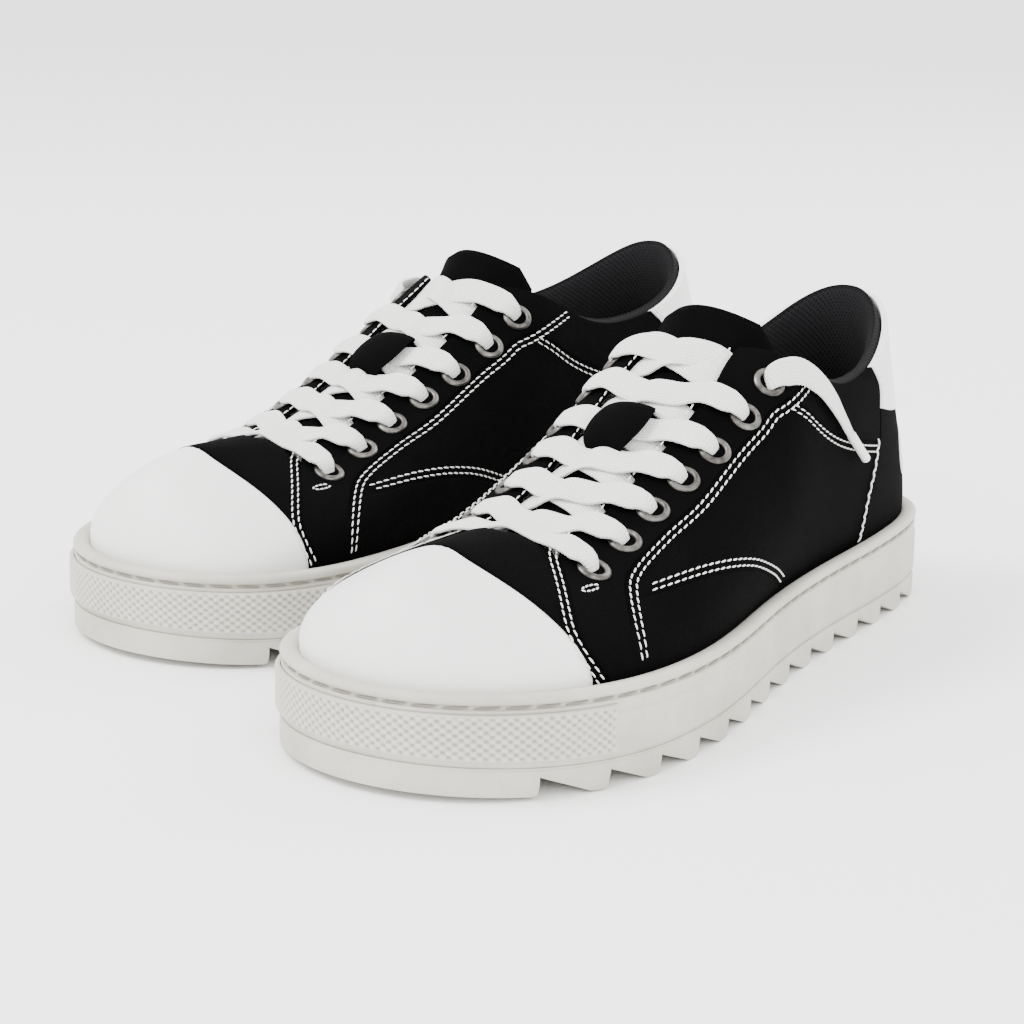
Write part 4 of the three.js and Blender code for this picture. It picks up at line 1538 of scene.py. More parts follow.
        outer[..., 2] = z
        inner = path[:, None, :] - out[:, None, :] * 0.2 + 0 * outer
        inner[..., 2] = z
        shape = slab(outer, inner)
        # The relief goes into the cloth coordinates, where the knurled rubber reads it to paint shade into
        # the hollows.
        pattern = np.stack([0 * relief, relief, 0 * relief], -1).reshape(-1, 3)
        shape.cloth = np.concatenate([pattern, pattern])
        return shape

    def welt_stitches(self) -> Shape:
        """Long stitches that lie in the groove under the lip.

        Returns:
            The closed body.
        """
        path = self.ring(1.1, lambda y: LAST.lip_at(y) - self.groove_drop - 0.35)
        path = np.concatenate([path, path[:1]])
        middle = LAST.inset(self.outline, 20.0)
        normals = unit((np.concatenate([self.outline, self.outline[:1]])
                        - np.concatenate([middle, middle[:1]])) * [1, 1, 0])
        row = StitchRow(pitch=8.6, length=7.4, radius=0.34, lift=0.05, slant_deg=3.0)
        return row.along(path, normals)

    def filler(self, inset: float, low: float, high: float) -> Shape:
        """Flat layer in the cup with softened edges.

        Args:
            inset: mm inside the outline.
            low: height of its underside.
            high: height of its top.

        Returns:
            The closed body.
        """
        rings = [
            self.ring(inset + 0.5, lambda y: 0 * y + low),
            self.ring(inset, lambda y: 0 * y + low + 0.4),
            self.ring(inset, lambda y: 0 * y + high - 0.4),
            self.ring(inset + 0.5, lambda y: 0 * y + high),
        ]
        return tube(np.array(rings))

    def footbed(self) -> Shape:
        """Inner sole: higher round its edge, hollow under the heel and ball.

        Returns:
            The closed body.
        """
        rows = [(8.8, 21.0), (8.4, 21.6), (8.4, 26.2), (9.0, 26.7), (11.5, 26.0), (16.0, 24.9)]
        rows += [(22.0, 24.5), (28.0, 24.4)]
        rings = [self.ring(inset, lambda y, z=z: 0 * y + z) for inset, z in rows]
        return tube(np.array(rings))

    def build(self, bench: Bench) -> None:
        """Puts all the pieces of the sole in place.

        Args:
            bench: puts pieces in the scene.
        """
        bench.put("tread", self.tread(), Finishes.rubber, ["tread_outsole"], sharp_deg=38)
        bench.put("cup", self.cup(), Finishes.rubber, ["cupsole"])
        bench.put("bumper", self.bumper(), Finishes.knurl, ["toe_bumper"], sharp_deg=80)
        # The welt stitches carry the white thread darkened as the painted shade of the groove.
        bench.put("welt_stitching", self.welt_stitches(), Finishes.welt_thread_painted_shade)
        bench.put("foam", self.filler(6.6, 14.0, 18.4), Finishes.foam, ["midsole_foam"])
        bench.put("board", self.filler(8.2, 18.7, 20.3), Finishes.board, ["insole_board"])
        bench.put("inner_sole", self.footbed(), Finishes.lining, ["footbed"])


# ---- upper ----


def rear_of_vamp(v: Array) -> Array:
    """Station of the vamp's rear edge at a girth.

    Args:
        v: girths, 0 to 1.

    Returns:
        Station numbers.
    """
    t = np.linspace(0, 1, 200)
    edge = catmull(FACING_FRONT[6:][::-1], t)
    low = np.interp(v, edge[:, 1], edge[:, 0])
    top = FACING_FRONT[6][1]
    high = FACING_FRONT[6][0] + (v - top) / (1 - top) * (THROAT_FRONT - FACING_FRONT[6][0])
    return np.where(v > top, high, low)


@dataclass
class Upper:
    """Panels, stitching, tab, stiffener and heel badge."""

    quarter_top: float = 0.0
    vamp_top: float = 0.25
    collar_top: float = 0.35
    facing_top: float = 0.7
    patch_top: float = 0.75
    counter_top: float = 0.6
    tab_top: float = 1.0
    cap_thickness: float = 1.2
    hidden_top: float = -1.6
    ring_radius: float = 7.6
    bar_gap: float = 2.8

    def toe_cap(self) -> Shape:
        """Smooth cap over the toes, in one sheet across the ridge.

        Returns:
            The closed body.
        """

        def place(s: Array, t: Array) -> tuple[Array, Array]:
            """s runs from the cap's edge to the toe's middle line, t over the foot."""
            start = cap_seam(height_over(t))
            return start + (LAST.toe - start) * s, 2 * t

        t = np.linspace(0, 1, 97)
        s = np.linspace(-0.045, 1, 44)
        grid_s, grid_t = np.meshgrid(s, t, indexing="ij")
        c, w = place(grid_s, grid_t)
        drop = smooth_step(0.03, -0.02, grid_s) * 0.55
        face, normal = LAST.point(c, w), LAST.normal(c, w)
        under = drop + self.cap_thickness
        sheets = [face - normal * drop[..., None], face - normal * under[..., None]]
        grown = []
        for sheet in sheets:
            first = sheet[:, :1] + [0, 0, -LAST.embed]
            last = sheet[:, -1:] + [0, 0, -LAST.embed]
            grown.append(np.concatenate([first, sheet, last], 1))
        return slab(*grown)

    def vamp(self) -> Shape:
        """Black panel between cap and throat, with its legs down both sides.

        Returns:
            The closed body.
        """

        def place(s: Array, t: Array) -> tuple[Array, Array]:
            """s runs from the throat to the cap, t over the foot."""
            rear = rear_of_vamp(1 - np.abs(2 * t - 1))
            return rear + (cap_seam(height_over(t)) - rear) * s, 2 * t

        return Panel(
            place, (Edge.UNDER, Edge.OVER, Edge.SKIRT, Edge.SKIRT), self.vamp_top, 1.3, 2.0
        ).build()

    def facing(self, side: int) -> Shape:
        """Eyestay with its leg, rounded at every free edge.

        Args:
            side: 1 outside the foot, -1 inside.

        Returns:
            The closed body.
        """

        def place(s: Array, t: Array) -> tuple[Array, Array]:
            """s runs from the rear seam to the throat, t from the collar to the sole.

            Args:
                s: 0 to 1 one way.
                t: 0 to 1 the other way.

            Returns:
                Station and girth.
            """
            a, b = catmull(FACING_REAR, t), catmull(FACING_FRONT, t)
            found = a + (b - a) * s[..., None]
            return found[..., 0], found[..., 1]

        edges = (Edge.OVER, Edge.OVER, Edge.OVER, Edge.SKIRT)
        return Panel(on_side(side, place), edges, self.facing_top, 1.9, 1.7).build()

    def quarter(self, side: int) -> Shape:
        """Side panel, tucked under the facing, the collar and the counter.

        Args:
            side: 1 outside the foot, -1 inside.

        Returns:
            The closed body.
        """
        top = (*COLLAR_SEAM[:-1], (6.93, 0.8), (7.12, 0.782), *FACING_REAR[2:9])
        place = between(
            ((3.8, 0), (7, 0), (10.4, 0)), top, COUNTER_SEAM, ((10.4, 0), (10.66, 0.3))
        )
        edges = (Edge.UNDER, Edge.UNDER, Edge.SKIRT, Edge.UNDER)
        return Panel(on_side(side, place), edges, self.quarter_top, 1.1, 2.6).build()

    def patch(self, side: int) -> Shape:
        """Low patch over the quarter, behind the facing's leg.

        Args:
            side: 1 outside the foot, -1 inside.

        Returns:
            The closed body.
        """
        place = between(
            ((6.6, 0.0), (8.5, 0.0), (10.4, 0.0)), PATCH_TOP,
            ((6.6, 0.0), (6.6, 0.03)), ((10.4, 0.0), (10.66, 0.2), (10.55, 0.42)),
        )
        edges = (Edge.OVER, Edge.UNDER, Edge.SKIRT, Edge.OVER)
        return Panel(on_side(side, place), edges, self.patch_top, 0.9, 2.2).build()

    def collar(self, side: int) -> Shape:
        """Ankle panel over the quarter.

        Args:
            side: 1 outside the foot, -1 inside.

        Returns:
            The closed body.
        """
        place = between(
            COLLAR_SEAM, ((3.55, 1), (4.4, 1), (5.3, 1), (6.05, 1)),
            (COLLAR_SEAM[0], *TAB_SIDE), ((7.0, 0.81), (6.05, 1)),
        )
        edges = (Edge.UNDER, Edge.UNDER, Edge.OVER, Edge.OVER)
        return Panel(on_side(side, place), edges, self.collar_top, 1.5, 2.2).build()

    def counter(self) -> Shape:
        """Outer counter round the heel.

        Returns:
            The closed body.
        """
        half = ((1.93, 0.6), TAB_CORNER)
        mirrored = tuple((-c, w) for c, w in reversed(half))
        right = (*COUNTER_SEAM, TAB_CORNER)
        left = tuple((-c, w) for c, w in right)
        bottom = ((-3.8, 0), (-1.9, 0), (0, 0), (1.9, 0), (3.8, 0))
        place = between(bottom, (*mirrored, (0, 0.56), *half), left, right)
        edges = (Edge.OVER, Edge.OVER, Edge.SKIRT, Edge.UNDER)
        return Panel(place, edges, self.counter_top, 1.7, 2.4).build()

    def tab(self) -> Shape:
        """White tab over the top of the heel.

        Returns:
            The closed body.
        """
        half = ((1.93, 0.6), TAB_CORNER)
        mirrored = tuple((-c, w) for c, w in reversed(half))
        left = tuple((-c, w) for c, w in TAB_SIDE)
        top = ((-3.55, 1), (-1.8, 1), (0, 1), (1.8, 1), (3.55, 1))
        place = between((*mirrored, (0, 0.56), *half), top, left, TAB_SIDE)
        edges = (Edge.OVER,) * 4
        return Panel(place, edges, self.tab_top, 2.1, 2.0).build()

    def hidden(self, place: Place, top: float) -> Shape:
        """Moulded sheet behind the face of the upper."""
        edges = (Edge.OVER,) * 4
        return Panel(place, edges, top, 0.6, 4.0).build()

    def seams(self, side: int) -> Shape:
        """White stitching of one side of the shoe.

        Args:
            side: 1 outside the foot, -1 inside.

        Returns:
            The closed body.
        """
        row, rows = StitchRow(), []
        rear = knots_place(FACING_REAR, side)
        front = knots_place(FACING_FRONT, side)

        def run(place: Callable[[Array], tuple[Array, Array]], offset: float, top: float,
                first: float = 0.0, last: float = 1.0) -> None:
            """Adds one row beside a seam.

            Args:
                place: station and girth along the seam.
                offset: mm beside the seam.
                top: height over the last.
                first: where the row starts.
                last: where the row ends.
            """

            def part(t: Array) -> tuple[Array, Array]:
                """The stretch of the seam from first to last."""
                return place(first + (last - first) * t)

            rows.append(row.along(*seam_path(part, side * offset, top)))

        for offset in (1.5, 3.5):
            run(rear, offset, self.facing_top, 0.0, 0.985)
            run(knots_place(FACING_FRONT[5:], side), -offset, self.facing_top, 0.1, 0.97)
            run(knots_place(PATCH_TOP, side), -offset, self.patch_top, 0.02, 0.93)
            run(knots_place(COLLAR_SEAM, side), offset, self.collar_top, 0.03, 0.95)
        run(front, -1.6, self.facing_top, 0.02, 0.64)
        run(knots_place(TAB_SIDE, side), -1.4, self.tab_top, 0.08, 0.9)
        heavy = StitchRow(pitch=1.9, length=2.7, radius=0.42, slant_deg=38.0, zigzag=True)

        def counter(t: Array) -> tuple[Array, Array]:
            """The counter's seam, from just over the sole."""
            return knots_place(COUNTER_SEAM, side)(0.02 + 0.98 * t)

        rows.append(heavy.along(*seam_path(counter, side * 1.9, self.counter_top)))
        rows.append(self._bar_tack(side))
        return Shape.joined(rows)

    def _bar_tack(self, side: int) -> Shape:
        """Small stitched loop at the front of the facing's leg.

        Args:
            side: 1 outside the foot, -1 inside.

        Returns:
            The closed body.
        """
        c, w = np.array(11.2), np.array(0.56 if side > 0 else 1.44)
        centre, normal = LAST.point(c, w), LAST.normal(c, w)
        back = unit(LAST.point(c - 0.2, w) - LAST.point(c, w))
        up = unit(np.cross(normal, back))
        angle = np.linspace(0, math.tau, 40)
        loop = centre + back * (np.cos(angle)[:, None] * 3.4) + up * (np.sin(angle)[:, None] * 1.0)
        loop = loop + normal * self.facing_top
        row = StitchRow(pitch=1.7, length=1.4, radius=0.3)
        return row.along(loop, np.repeat(normal[None], len(loop), 0))

    def badge(self) -> Shape:
        """Generic ring with three bars, embroidered on the outside of the heel.

        Returns:
            The closed body.
        """
        c, w = np.array(1.75), np.array(0.36)
        centre, normal = LAST.point(c, w), LAST.normal(c, w)
        up = unit(np.array([0, 0, 1.0]) - normal * normal[2])
        across = np.cross(up, normal)
        satin = StitchRow(pitch=0.55, length=2.1, radius=0.32, lift=0.1, slant_deg=90)
        angle = np.linspace(0, math.tau, 80)
        pieces = []

        def curve(x: Array, z: Array) -> None:
            """Adds satin stitches along a plane curve laid on the heel.

            Args:
                x: places across, in mm.
                z: places up, in mm.
            """
            flat = centre + across * x[:, None] + up * z[:, None]
            places = [LAST.place_on(point, (float(c), float(w))) for point in flat]
            cs, ws = np.array([p[0] for p in places]), np.array([p[1] for p in places])
            pieces.append(satin.along(LAST.lifted(cs, ws, self.counter_top), LAST.normal(cs, ws)))

        curve(self.ring_radius * np.cos(angle), self.ring_radius * np.sin(angle))
        for x in (-self.bar_gap, 0.0, self.bar_gap):
            z = np.linspace(-4.6, 4.6, 12) * (1 if x else 1.15)
            curve(np.full(12, x), z)
        return Shape.joined(pieces)

    def build(self, bench: Bench) -> None:
        """Puts all the panels in place.

        Args:
            bench: puts pieces in the scene.
        """
        canvas, leather = Finishes.canvas, Finishes.leather
        bench.put("cap", self.toe_cap(), leather, ["toe_cap"])
        bench.put("front_panel", self.vamp(), canvas, ["vamp"])
        for side, word in ((1, "lateral"), (-1, "medial")):
            bench.put(f"facing_{word}", self.facing(side), canvas, [f"eyestay_{word}"])
            bench.put(f"side_{word}", self.quarter(side), canvas, [f"quarter_{word}"])
            bench.put(f"low_patch_{word}", self.patch(side), canvas, [f"side_patch_{word}"])
            bench.put(f"ankle_{word}", self.collar(side), canvas, [f"collar_{word}"])
            bench.put(f"stitching_{word}", self.seams(side), Finishes.thread)
        bench.put("counter", self.counter(), canvas, ["heel_counter"])
        bench.put("tab", self.tab(), leather, ["heel_tab"])
        bench.put("badge", self.badge(), Finishes.thread)

        def puff(s: Array, t: Array) -> tuple[Array, Array]:
            """Under the toe cap.

            Args:
                s: 0 to 1 one way.
                t: 0 to 1 the other way.

            Returns:
                Station and girth.
            """
            start = cap_seam(t) + 0.35
            u = start + (LAST.count - 2 * start) * s
            inside = u > LAST.toe
            return np.where(inside, LAST.count - u, u), np.where(inside, 2 - t, t)

        def cup(s: Array, t: Array) -> tuple[Array, Array]:
            """Round the heel, behind the counter."""
            return -3 + 6 * s, 0.08 + 0.42 * t

        def low(s: Array, t: Array) -> tuple[Array, Array]:
            """Under the toe cap, clear of the sole and the ridge."""
            return puff(s, 0.12 + 0.8 * t)

        stiff = Finishes.stiffener
        bench.put("toe_stiffener", self.hidden(low, self.hidden_top), stiff, ["toe_puff"])
        bench.put("counter_stiffener", self.hidden(cup, self.hidden_top), stiff, ["heel_stiffener"])


# ---- lining and tongue ----


@dataclass
class Lining:
    """Padded collar and heel lining of spacer mesh."""

    front: float = 6.15
    sheet: float = 1.6
    pad: float = 4.6
    depth: float = 1.2
    crown: float = 0.74
    roll: float = 3.0

    def build(self, bench: Bench) -> bpy.types.Object:
        """Lining as one padded piece that rolls over the top line.

        Args:
            bench: puts pieces in the scene.

        Returns:
            The piece.
        """
        c = np.linspace(-self.front, self.front, 150)
        over_edge = 1 - 0.1 * np.cos(np.linspace(0, 1, 15)[1:] * np.pi / 2)
        t = np.concatenate([np.linspace(0, 0.9, 46), over_edge])
        grid_c, grid_t = np.meshgrid(c, t, indexing="ij")
        girth = 0.03 + 0.96 * grid_t
        face, normal = LAST.point(grid_c, girth), LAST.normal(grid_c, girth)
        ends = np.clip((self.front - np.abs(grid_c)) / 0.7, 0, 1)
        swell = np.sin(np.pi * self.crown * np.clip((girth - 0.42) / 0.57, 0, 1)) ** 0.85
        thick = self.sheet + self.pad * swell * smooth_step(0, 1, ends)
        turn = np.clip((grid_t - 0.9) / 0.1, 0, 1)
        half = thick / 2 * np.sqrt(np.clip(1 - turn**2, 0.0004, 1))
        middle = face - normal * (self.depth + thick / 2)[..., None]
        middle[..., 2] += self.roll * turn * (0.5 + 0.5 * ends)
        outer = middle + normal * half[..., None]
        inner = middle - normal * half[..., None]
        shape = slab(outer, inner)
        piece = bench.put("padded_lining", shape, Finishes.lining, ["collar_lining"], sharp_deg=180)
        return piece


@dataclass
class Tongue:
    """Padded tongue with a flat top edge, and the loop that keeps the lace in the middle."""

    half_width: float = 26.0
    thickness: float = 3.4
    start: float = -93.0
    end: float = 19.3
    fold: float = 15.8
    sag_low: float = 0.027
    sag_high: float = 0.031
    line: tuple[tuple[float, float], ...] = (
        (-96, 59.4), (-75, 58.2), (-46, 69), (-17, 83.6), (4, 97), (12.5, 105.5), (20, 115.5),
    )

    def __post_init__(self) -> None:
        """Samples the middle line of the tongue's face."""
        knots = np.array(self.line, float)
        self.samples = self._centripetal(knots)
        self.slope = np.gradient(self.samples[:, 1], self.samples[:, 0])

    @staticmethod
    def _centripetal(knots: Array) -> Array:
        """Centripetal Catmull-Rom curve through plane knots, densely sampled.

        Args:
            knots: [y, z] pairs that the curve goes through.

        Returns:
            Points in order along the curve.
        """
        ends = np.concatenate([[2 * knots[0] - knots[1]], knots, [2 * knots[-1] - knots[-2]]])
        samples = []
        for i in range(1, len(ends) - 2):
            p = ends[i - 1 : i + 3]
            gaps = np.linalg.norm(np.diff(p, axis=0), axis=1) ** 0.5
            before, here = (p[1] - p[0]) / gaps[0], (p[2] - p[1]) / gaps[1]
            after = (p[3] - p[2]) / gaps[2]
            m1 = (before - (p[2] - p[0]) / (gaps[0] + gaps[1]) + here) * gaps[1]
            m2 = (here - (p[3] - p[1]) / (gaps[1] + gaps[2]) + after) * gaps[1]
            f = np.linspace(0, 1, 24, endpoint=False)[:, None]
            a, b = 2 * p[1] - 2 * p[2] + m1 + m2, -3 * p[1] + 3 * p[2] - 2 * m1 - m2
            samples.append(a * f**3 + b * f**2 + m1 * f + p[1])
        return np.concatenate([*samples, knots[-1:]])

    def frame_at(self, x: Array, y: Array) -> tuple[Array, Array, Array]:
        """Point of the tongue's face, its normal and the direction along the tongue.

        Args:
            x: places across the tongue, in mm.
            y: places along the shoe, in mm.

        Returns:
            Points, normals and directions.
        """
        x, y = np.broadcast_arrays(np.asarray(x, float), np.asarray(y, float))
        z = np.interp(y, self.samples[:, 0], self.samples[:, 1])
        slope = np.interp(y, self.samples[:, 0], self.slope)
        run = unit(np.stack([0 * y, np.ones_like(y), slope], -1))
        rise = np.stack([0 * y, -run[..., 2], run[..., 1]], -1)
        sag = self.sag_low + (self.sag_high - self.sag_low) * smooth_step(-20, self.fold, y)
        point = np.stack([x, y, z], -1) - rise * (sag * x * x)[..., None]
        tilt = np.stack([2 * sag * x, 0 * y, 0 * y], -1)
        return point, unit(rise + tilt), run

    def on(self, x: float, y: float, height: float) -> Array:
        """Point over the tongue's face."""
        point, normal, _ = self.frame_at(x, y)
        return point + normal * height

    def body(self) -> Shape:
        """The tongue in one piece, crowned, with a bound edge.

        Returns:
            The closed body.
        """
        s = np.linspace(-1, 1, 45)
        t = np.linspace(0, 1, 75)
        grid_t, grid_s = np.meshgrid(t, s, indexing="ij")
        y = self.start + (self.end - self.start) * grid_t
        width = self.half_width - 4 * grid_t**4 - 4.5 * smooth_step(0.96, 1.0, grid_t) ** 2
        x = grid_s * width
        edge = np.minimum((1 - np.abs(grid_s)) * width, (1 - grid_t) * (self.end - self.start) * 1.4)
        crown = np.sqrt(np.clip(1 - (1 - np.clip(edge / 2.2, 0, 1)) ** 2, 0, 1))
        bound = 0.35 * smooth_step(4.6, 3.6, edge) * smooth_step(0.3, 1.4, edge)
        point, normal, _ = self.frame_at(x, y)
        middle = point - normal * (self.thickness / 2)
        half = self.thickness / 2 * (0.25 + 0.75 * crown)
        outer = middle + normal * (half + bound - 0.12)[..., None]
        inner = middle - normal * (half * 1.1)[..., None]
        return slab(outer, inner)

    def keeper(self, front: float, back: float) -> Shape:
        """Loop on the tongue that the lace runs under.

        Args:
            front: place of the row of eyelets before it.
            back: place of the row behind it.

        Returns:
            The closed body.
        """
        middle, reach = (front + back) / 2, (back - front) / 2 + 1.8
        angle = np.linspace(math.pi, 0, 41)
        s = np.linspace(-1, 1, 13)
        grid_a, grid_s = np.meshgrid(angle, s, indexing="ij")
        half = 5.0 + 2.0 * np.sin(grid_a)
        height = 0.2 + 5.9 * np.sin(grid_a) ** 0.45
        sheets = []
        for lift in (0.95, 0.0):
            round_off = 0.25 * np.abs(grid_s) ** 6 * (1 if lift else -1)
            y = middle + (reach + lift) * np.cos(grid_a)
            point, normal, _ = self.frame_at(grid_s * half, y)
            tall = height + lift * np.sin(grid_a) - round_off
            sheets.append(point + normal * tall[..., None])
        return slab(*sheets)

    def build(self, bench: Bench, laces: "Laces") -> None:
        """Puts the tongue in place, and the keeper on it.

        Args:
            bench: puts pieces in the scene.
            laces: the laces, for the places of the eyelets.
        """
        piece = bench.put(
            "padded_tongue", self.body(), Finishes.canvas, ["tongue", "tongue_top"],
            ride=False, sharp_deg=180,
        )
        start, end = (self.on(0, y, 0) for y in (self.fold - 1.6, self.fold + 2.4))
        tuple(bench.stance.to_world(start))
        tuple(bench.stance.to_world(end))
        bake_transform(piece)
        front, back = laces.row_y(3), laces.row_y(4)
        bench.put("keeper_loop", self.keeper(front, back), Finishes.canvas, ["lace_keeper"], sharp_deg=80)


# ---- laces and eyelets ----

Knot = tuple[Array, Array, float]

# Free end of the lace outside the last eyelet: centre points with the width of the lace there.
TAIL_ROUTE = (
    (27.1, 14.1, 91.6, 4.8), (29.2, 12.7, 93.9, 6.2), (30.7, 13.5, 95.7, 7.8), (31.9, 19.1, 96.4, 9.0),
    (33.0, 24.6, 96.0, 9.4), (34.5, 32.0, 92.6, 9.4), (35.1, 37.2, 89.1, 9.2), (36.4, 43.0, 83.0, 8.4),
    (37.3, 48.3, 76.2, 5.6), (37.5, 52.2, 71.9, 3.0), (37.4, 56.0, 68.6, 2.6), (37.0, 63.6, 62.3, 2.5),
)
AGLET_ROUTE = ((37.5, 52.3, 71.8), (37.0, 64.5, 61.6))
INNER_END = ((-1.6, 2.0, -16.0), (-0.9, 1.8, -10.0))
INNER_AGLET = ((-1.7, 2.1, -16.4), (-2.4, 2.6, -33.0))


@dataclass
class Laces:
    """The lace, its free tail, its sheaths and the eyelets."""

    tongue: Tongue
    width: float = 10.2
    thickness: float = 1.6
    bunch: float = 4.2
    bore: float = 3.0
    flange: float = 5.2
    slope: float = 0.28
    over: float = 2.35
    under: float = -4.1
    under_edge: float = -2.6
    sides: int = 14
    declared_width: float = 0.0091
    sheath_radius: float = 1.55
    inner_sheath_radius: float = 1.5

    def eyelet(self, side: int, row: int) -> tuple[Array, Array, Array]:
        """Centre, normal and along-direction of an eyelet.

        Args:
            side: 1 outside the foot, -1 inside.
            row: eyelet, 0 nearest the toe.

        Returns:
            Centre, normal and direction along the shoe.
        """
        c, w = EYELETS[row]
        w = w if side > 0 else 2 - w
        centre, normal = LAST.point(c, w), LAST.normal(c, w)
        across = unit(np.array([-side, 0, 0]) + normal * side * normal[0])
        along = np.cross(normal, across)
        return centre, normal, along if along[1] > 0 else -along

    def row_y(self, row: int) -> float:
        """Place of a row of eyelets along the shoe."""
        return float(self.eyelet(1, row)[0][1])

    def near(self, side: int, row: int, reach: float, height: float, shift: float = 0.0) -> Array:
        """Point over or under the facing, a reach inboard of an eyelet.

        Args:
            side: 1 outside the foot, -1 inside.
            row: eyelet, 0 nearest the toe.
            reach: mm inboard of the eyelet.
            height: mm over the last.
            shift: mm along the shoe.

        Returns:
            Point in mm.
        """
        centre = self.eyelet(side, row)[0]
        c, w = EYELETS[row]
        guess = (c, w if side > 0 else 2 - w)
        place = LAST.place_under(centre[0] - side * reach, centre[1] + shift, guess)
        return LAST.lifted(np.array(place[0]), np.array(place[1]), height)

    def dive(self, side: int, row: int) -> list[Knot]:
        """Knots down through an eyelet from the throat.

        Args:
            side: 1 outside the foot, -1 inside.
            row: eyelet, 0 nearest the toe.

        Returns:
            Knots in order.
        """
        along = self.eyelet(side, row)[2]
        slope = -self.slope if row > 0 else 0.0
        spots = [
            (11.5, self.over - 0.1, slope, 1.0), (6, self.over + 0.35, slope, 0.97),
            (2.4, self.over + 0.35, slope, 0.66), (0.5, self.over - 1.5, 0, 0.46),
            (0.1, self.under + 1.6, 0, 0.42), (1.6, self.under, self.slope, 0.5),
            (6, self.under, self.slope, 0.8), (11.5, self.under_edge, self.slope, 0.98),
        ]
        return [
            (self.near(side, row, reach, height, reach * lean), along, self.width * share)
            for reach, height, lean, share in spots
        ]

    def crossing(self, side: int, row: int, on_top: bool) -> list[Knot]:
        """Knots over the tongue from one side at a row to the other side at the next row.

        Args:
            side: 1 outside the foot, -1 inside.
            row: row that it starts from.
            on_top: whether it lies over the other crossing.

        Returns:
            Knots in order.
        """
        low, high = 0.45 + self.thickness / 2, 0.75 + 1.5 * self.thickness
        levels = (low, high if on_top else low, high)
        knots = []
        for x, level in zip((7, 0, -8), levels):
            y = self.row_y(row) + (self.row_y(row + 1) - self.row_y(row)) * (0.5 - x / 52)
            point, normal, run = self.tongue.frame_at(side * x, y)
            knots.append((point + normal * level, run, self.width))
        return knots

    def knots(self) -> list[Knot]:
        """All the knots of the lace from one end to the other.

        Returns:
            Knots in order.
        """
        last = len(EYELETS) - 1
        centre, _, along = self.eyelet(-1, last)
        knots: list[Knot] = [(centre + drop, along, self.bunch) for drop in np.array(INNER_END)]
        knots += self.dive(-1, last)[:5][::-1]
        side = 1
        for row in range(last - 1, -1, -1):
            knots += self.crossing(side, row, side < 0)[::-1] + self.dive(side, row)[::-1]
            side = -side
        for x in (-9, 0, 9):
            point, normal, run = self.tongue.frame_at(x, self.row_y(0))
            knots.append((point + normal * 4.2, run, self.width))
        side = 1
        for row in range(last):
            knots += self.dive(side, row) + self.crossing(side, row, side < 0)
            side = -side
        direction = self.dive(1, last)[-1][1]
        knots[-1] = (self.tongue.on(9, self.row_y(last) - 5, 1.4), knots[-1][1], self.width)
        knots.append((self.near(1, last, 9, -2.9, -2.5), direction, self.width * 0.8))
        knots.append((self.near(1, last, 4, -4.2, -1), direction, self.bunch * 1.3))
        return knots

    def ribbon(self, knots: Sequence[Knot], step: float = 1.3) -> Shape:
        """Flat woven band through knots, softly rounded, a little wavy at its edges.

        Args:
            knots: centre, direction across and width at each knot.
            step: mm between its rings.

        Returns:
            The closed body.
        """
        centres = np.array([knot[0] for knot in knots])
        wides = np.array([knot[1] for knot in knots])
        widths = np.array([knot[2] for knot in knots])
        gaps = np.linalg.norm(np.diff(centres, axis=0), axis=1)
        places = np.concatenate([[0], np.cumsum(np.maximum(gaps, 0.3))])
        count = int(places[-1] / step)
        wanted = np.linspace(0, places[-1], count)
        cell = np.clip(np.searchsorted(places, wanted, "right") - 1, 0, len(gaps) - 1)
        f = ((wanted - places[cell]) / (places[cell + 1] - places[cell]))[:, None]
        tangents = np.gradient(centres, places, axis=0)
        span = (places[cell + 1] - places[cell])[:, None]
        a, b = centres[cell], centres[cell + 1]
        ta, tb = tangents[cell] * span, tangents[cell + 1] * span
        path = (2 * a - 2 * b + ta + tb) * f**3 + (-3 * a + 3 * b - 2 * ta - tb) * f**2 + ta * f + a
        blend = f * f * (3 - 2 * f)
        wide = wides[cell] * (1 - blend) + wides[cell + 1] * blend
        width = widths[cell] * (1 - blend[:, 0]) + widths[cell + 1] * blend[:, 0]
        run = unit(np.gradient(path, axis=0))
        wide = unit(wide - run * (wide * run).sum(1, keepdims=True))
        thin = np.cross(run, wide)
        angles = np.arange(self.sides) * math.tau / self.sides
        cos, sin = np.cos(angles), np.sin(angles)
        flat_x = np.sign(cos) * np.abs(cos) ** 0.55
        flat_y = np.sign(sin) * np.abs(sin) ** 0.55
        fold = 1 + 0.5 * np.clip(1 - width / self.width, 0, 1)
        rings = path[:, None] + wide[:, None] * (flat_x[None, :] * width[:, None] / 2)[..., None]
        depth = (self.thickness * fold)[:, None]
        rings = rings + thin[:, None] * (flat_y[None, :] * depth / 2)[..., None]
        along = np.repeat(wanted[:, None], self.sides, 1)
        across = self.width / 2 + flat_x[None, :] * np.full((count, 1), self.width / 2)
        cloth = np.stack([along, across, 0 * along], -1).reshape(-1, 3)
        return tube(rings, cloth)

    def rod(self, route: Array, radius: float) -> Shape:
        """Round sheath with softened ends.

        Args:
            route: its two ends.
            radius: its radius, in mm.

        Returns:
            The closed body.
        """
        start, end = np.array(route[0], float), np.array(route[1], float)
        run = unit(end - start)
        side = unit(np.cross(run, [0.2, 0.9, 0.3]))
        up = np.cross(run, side)
        length = float(np.linalg.norm(end - start))
        profile = [(0, 0.7), (0.12, 0.9), (0.45, 1), (length * 0.5, 0.97), (length - 0.5, 1)]
        profile += [(length - 0.15, 0.9), (length, 0.68)]
        angles = np.arange(20) * math.tau / 20
        circle = np.cos(angles)[:, None] * side + np.sin(angles)[:, None] * up
        return tube(np.array([start + run * d + circle * radius * share for d, share in profile]))

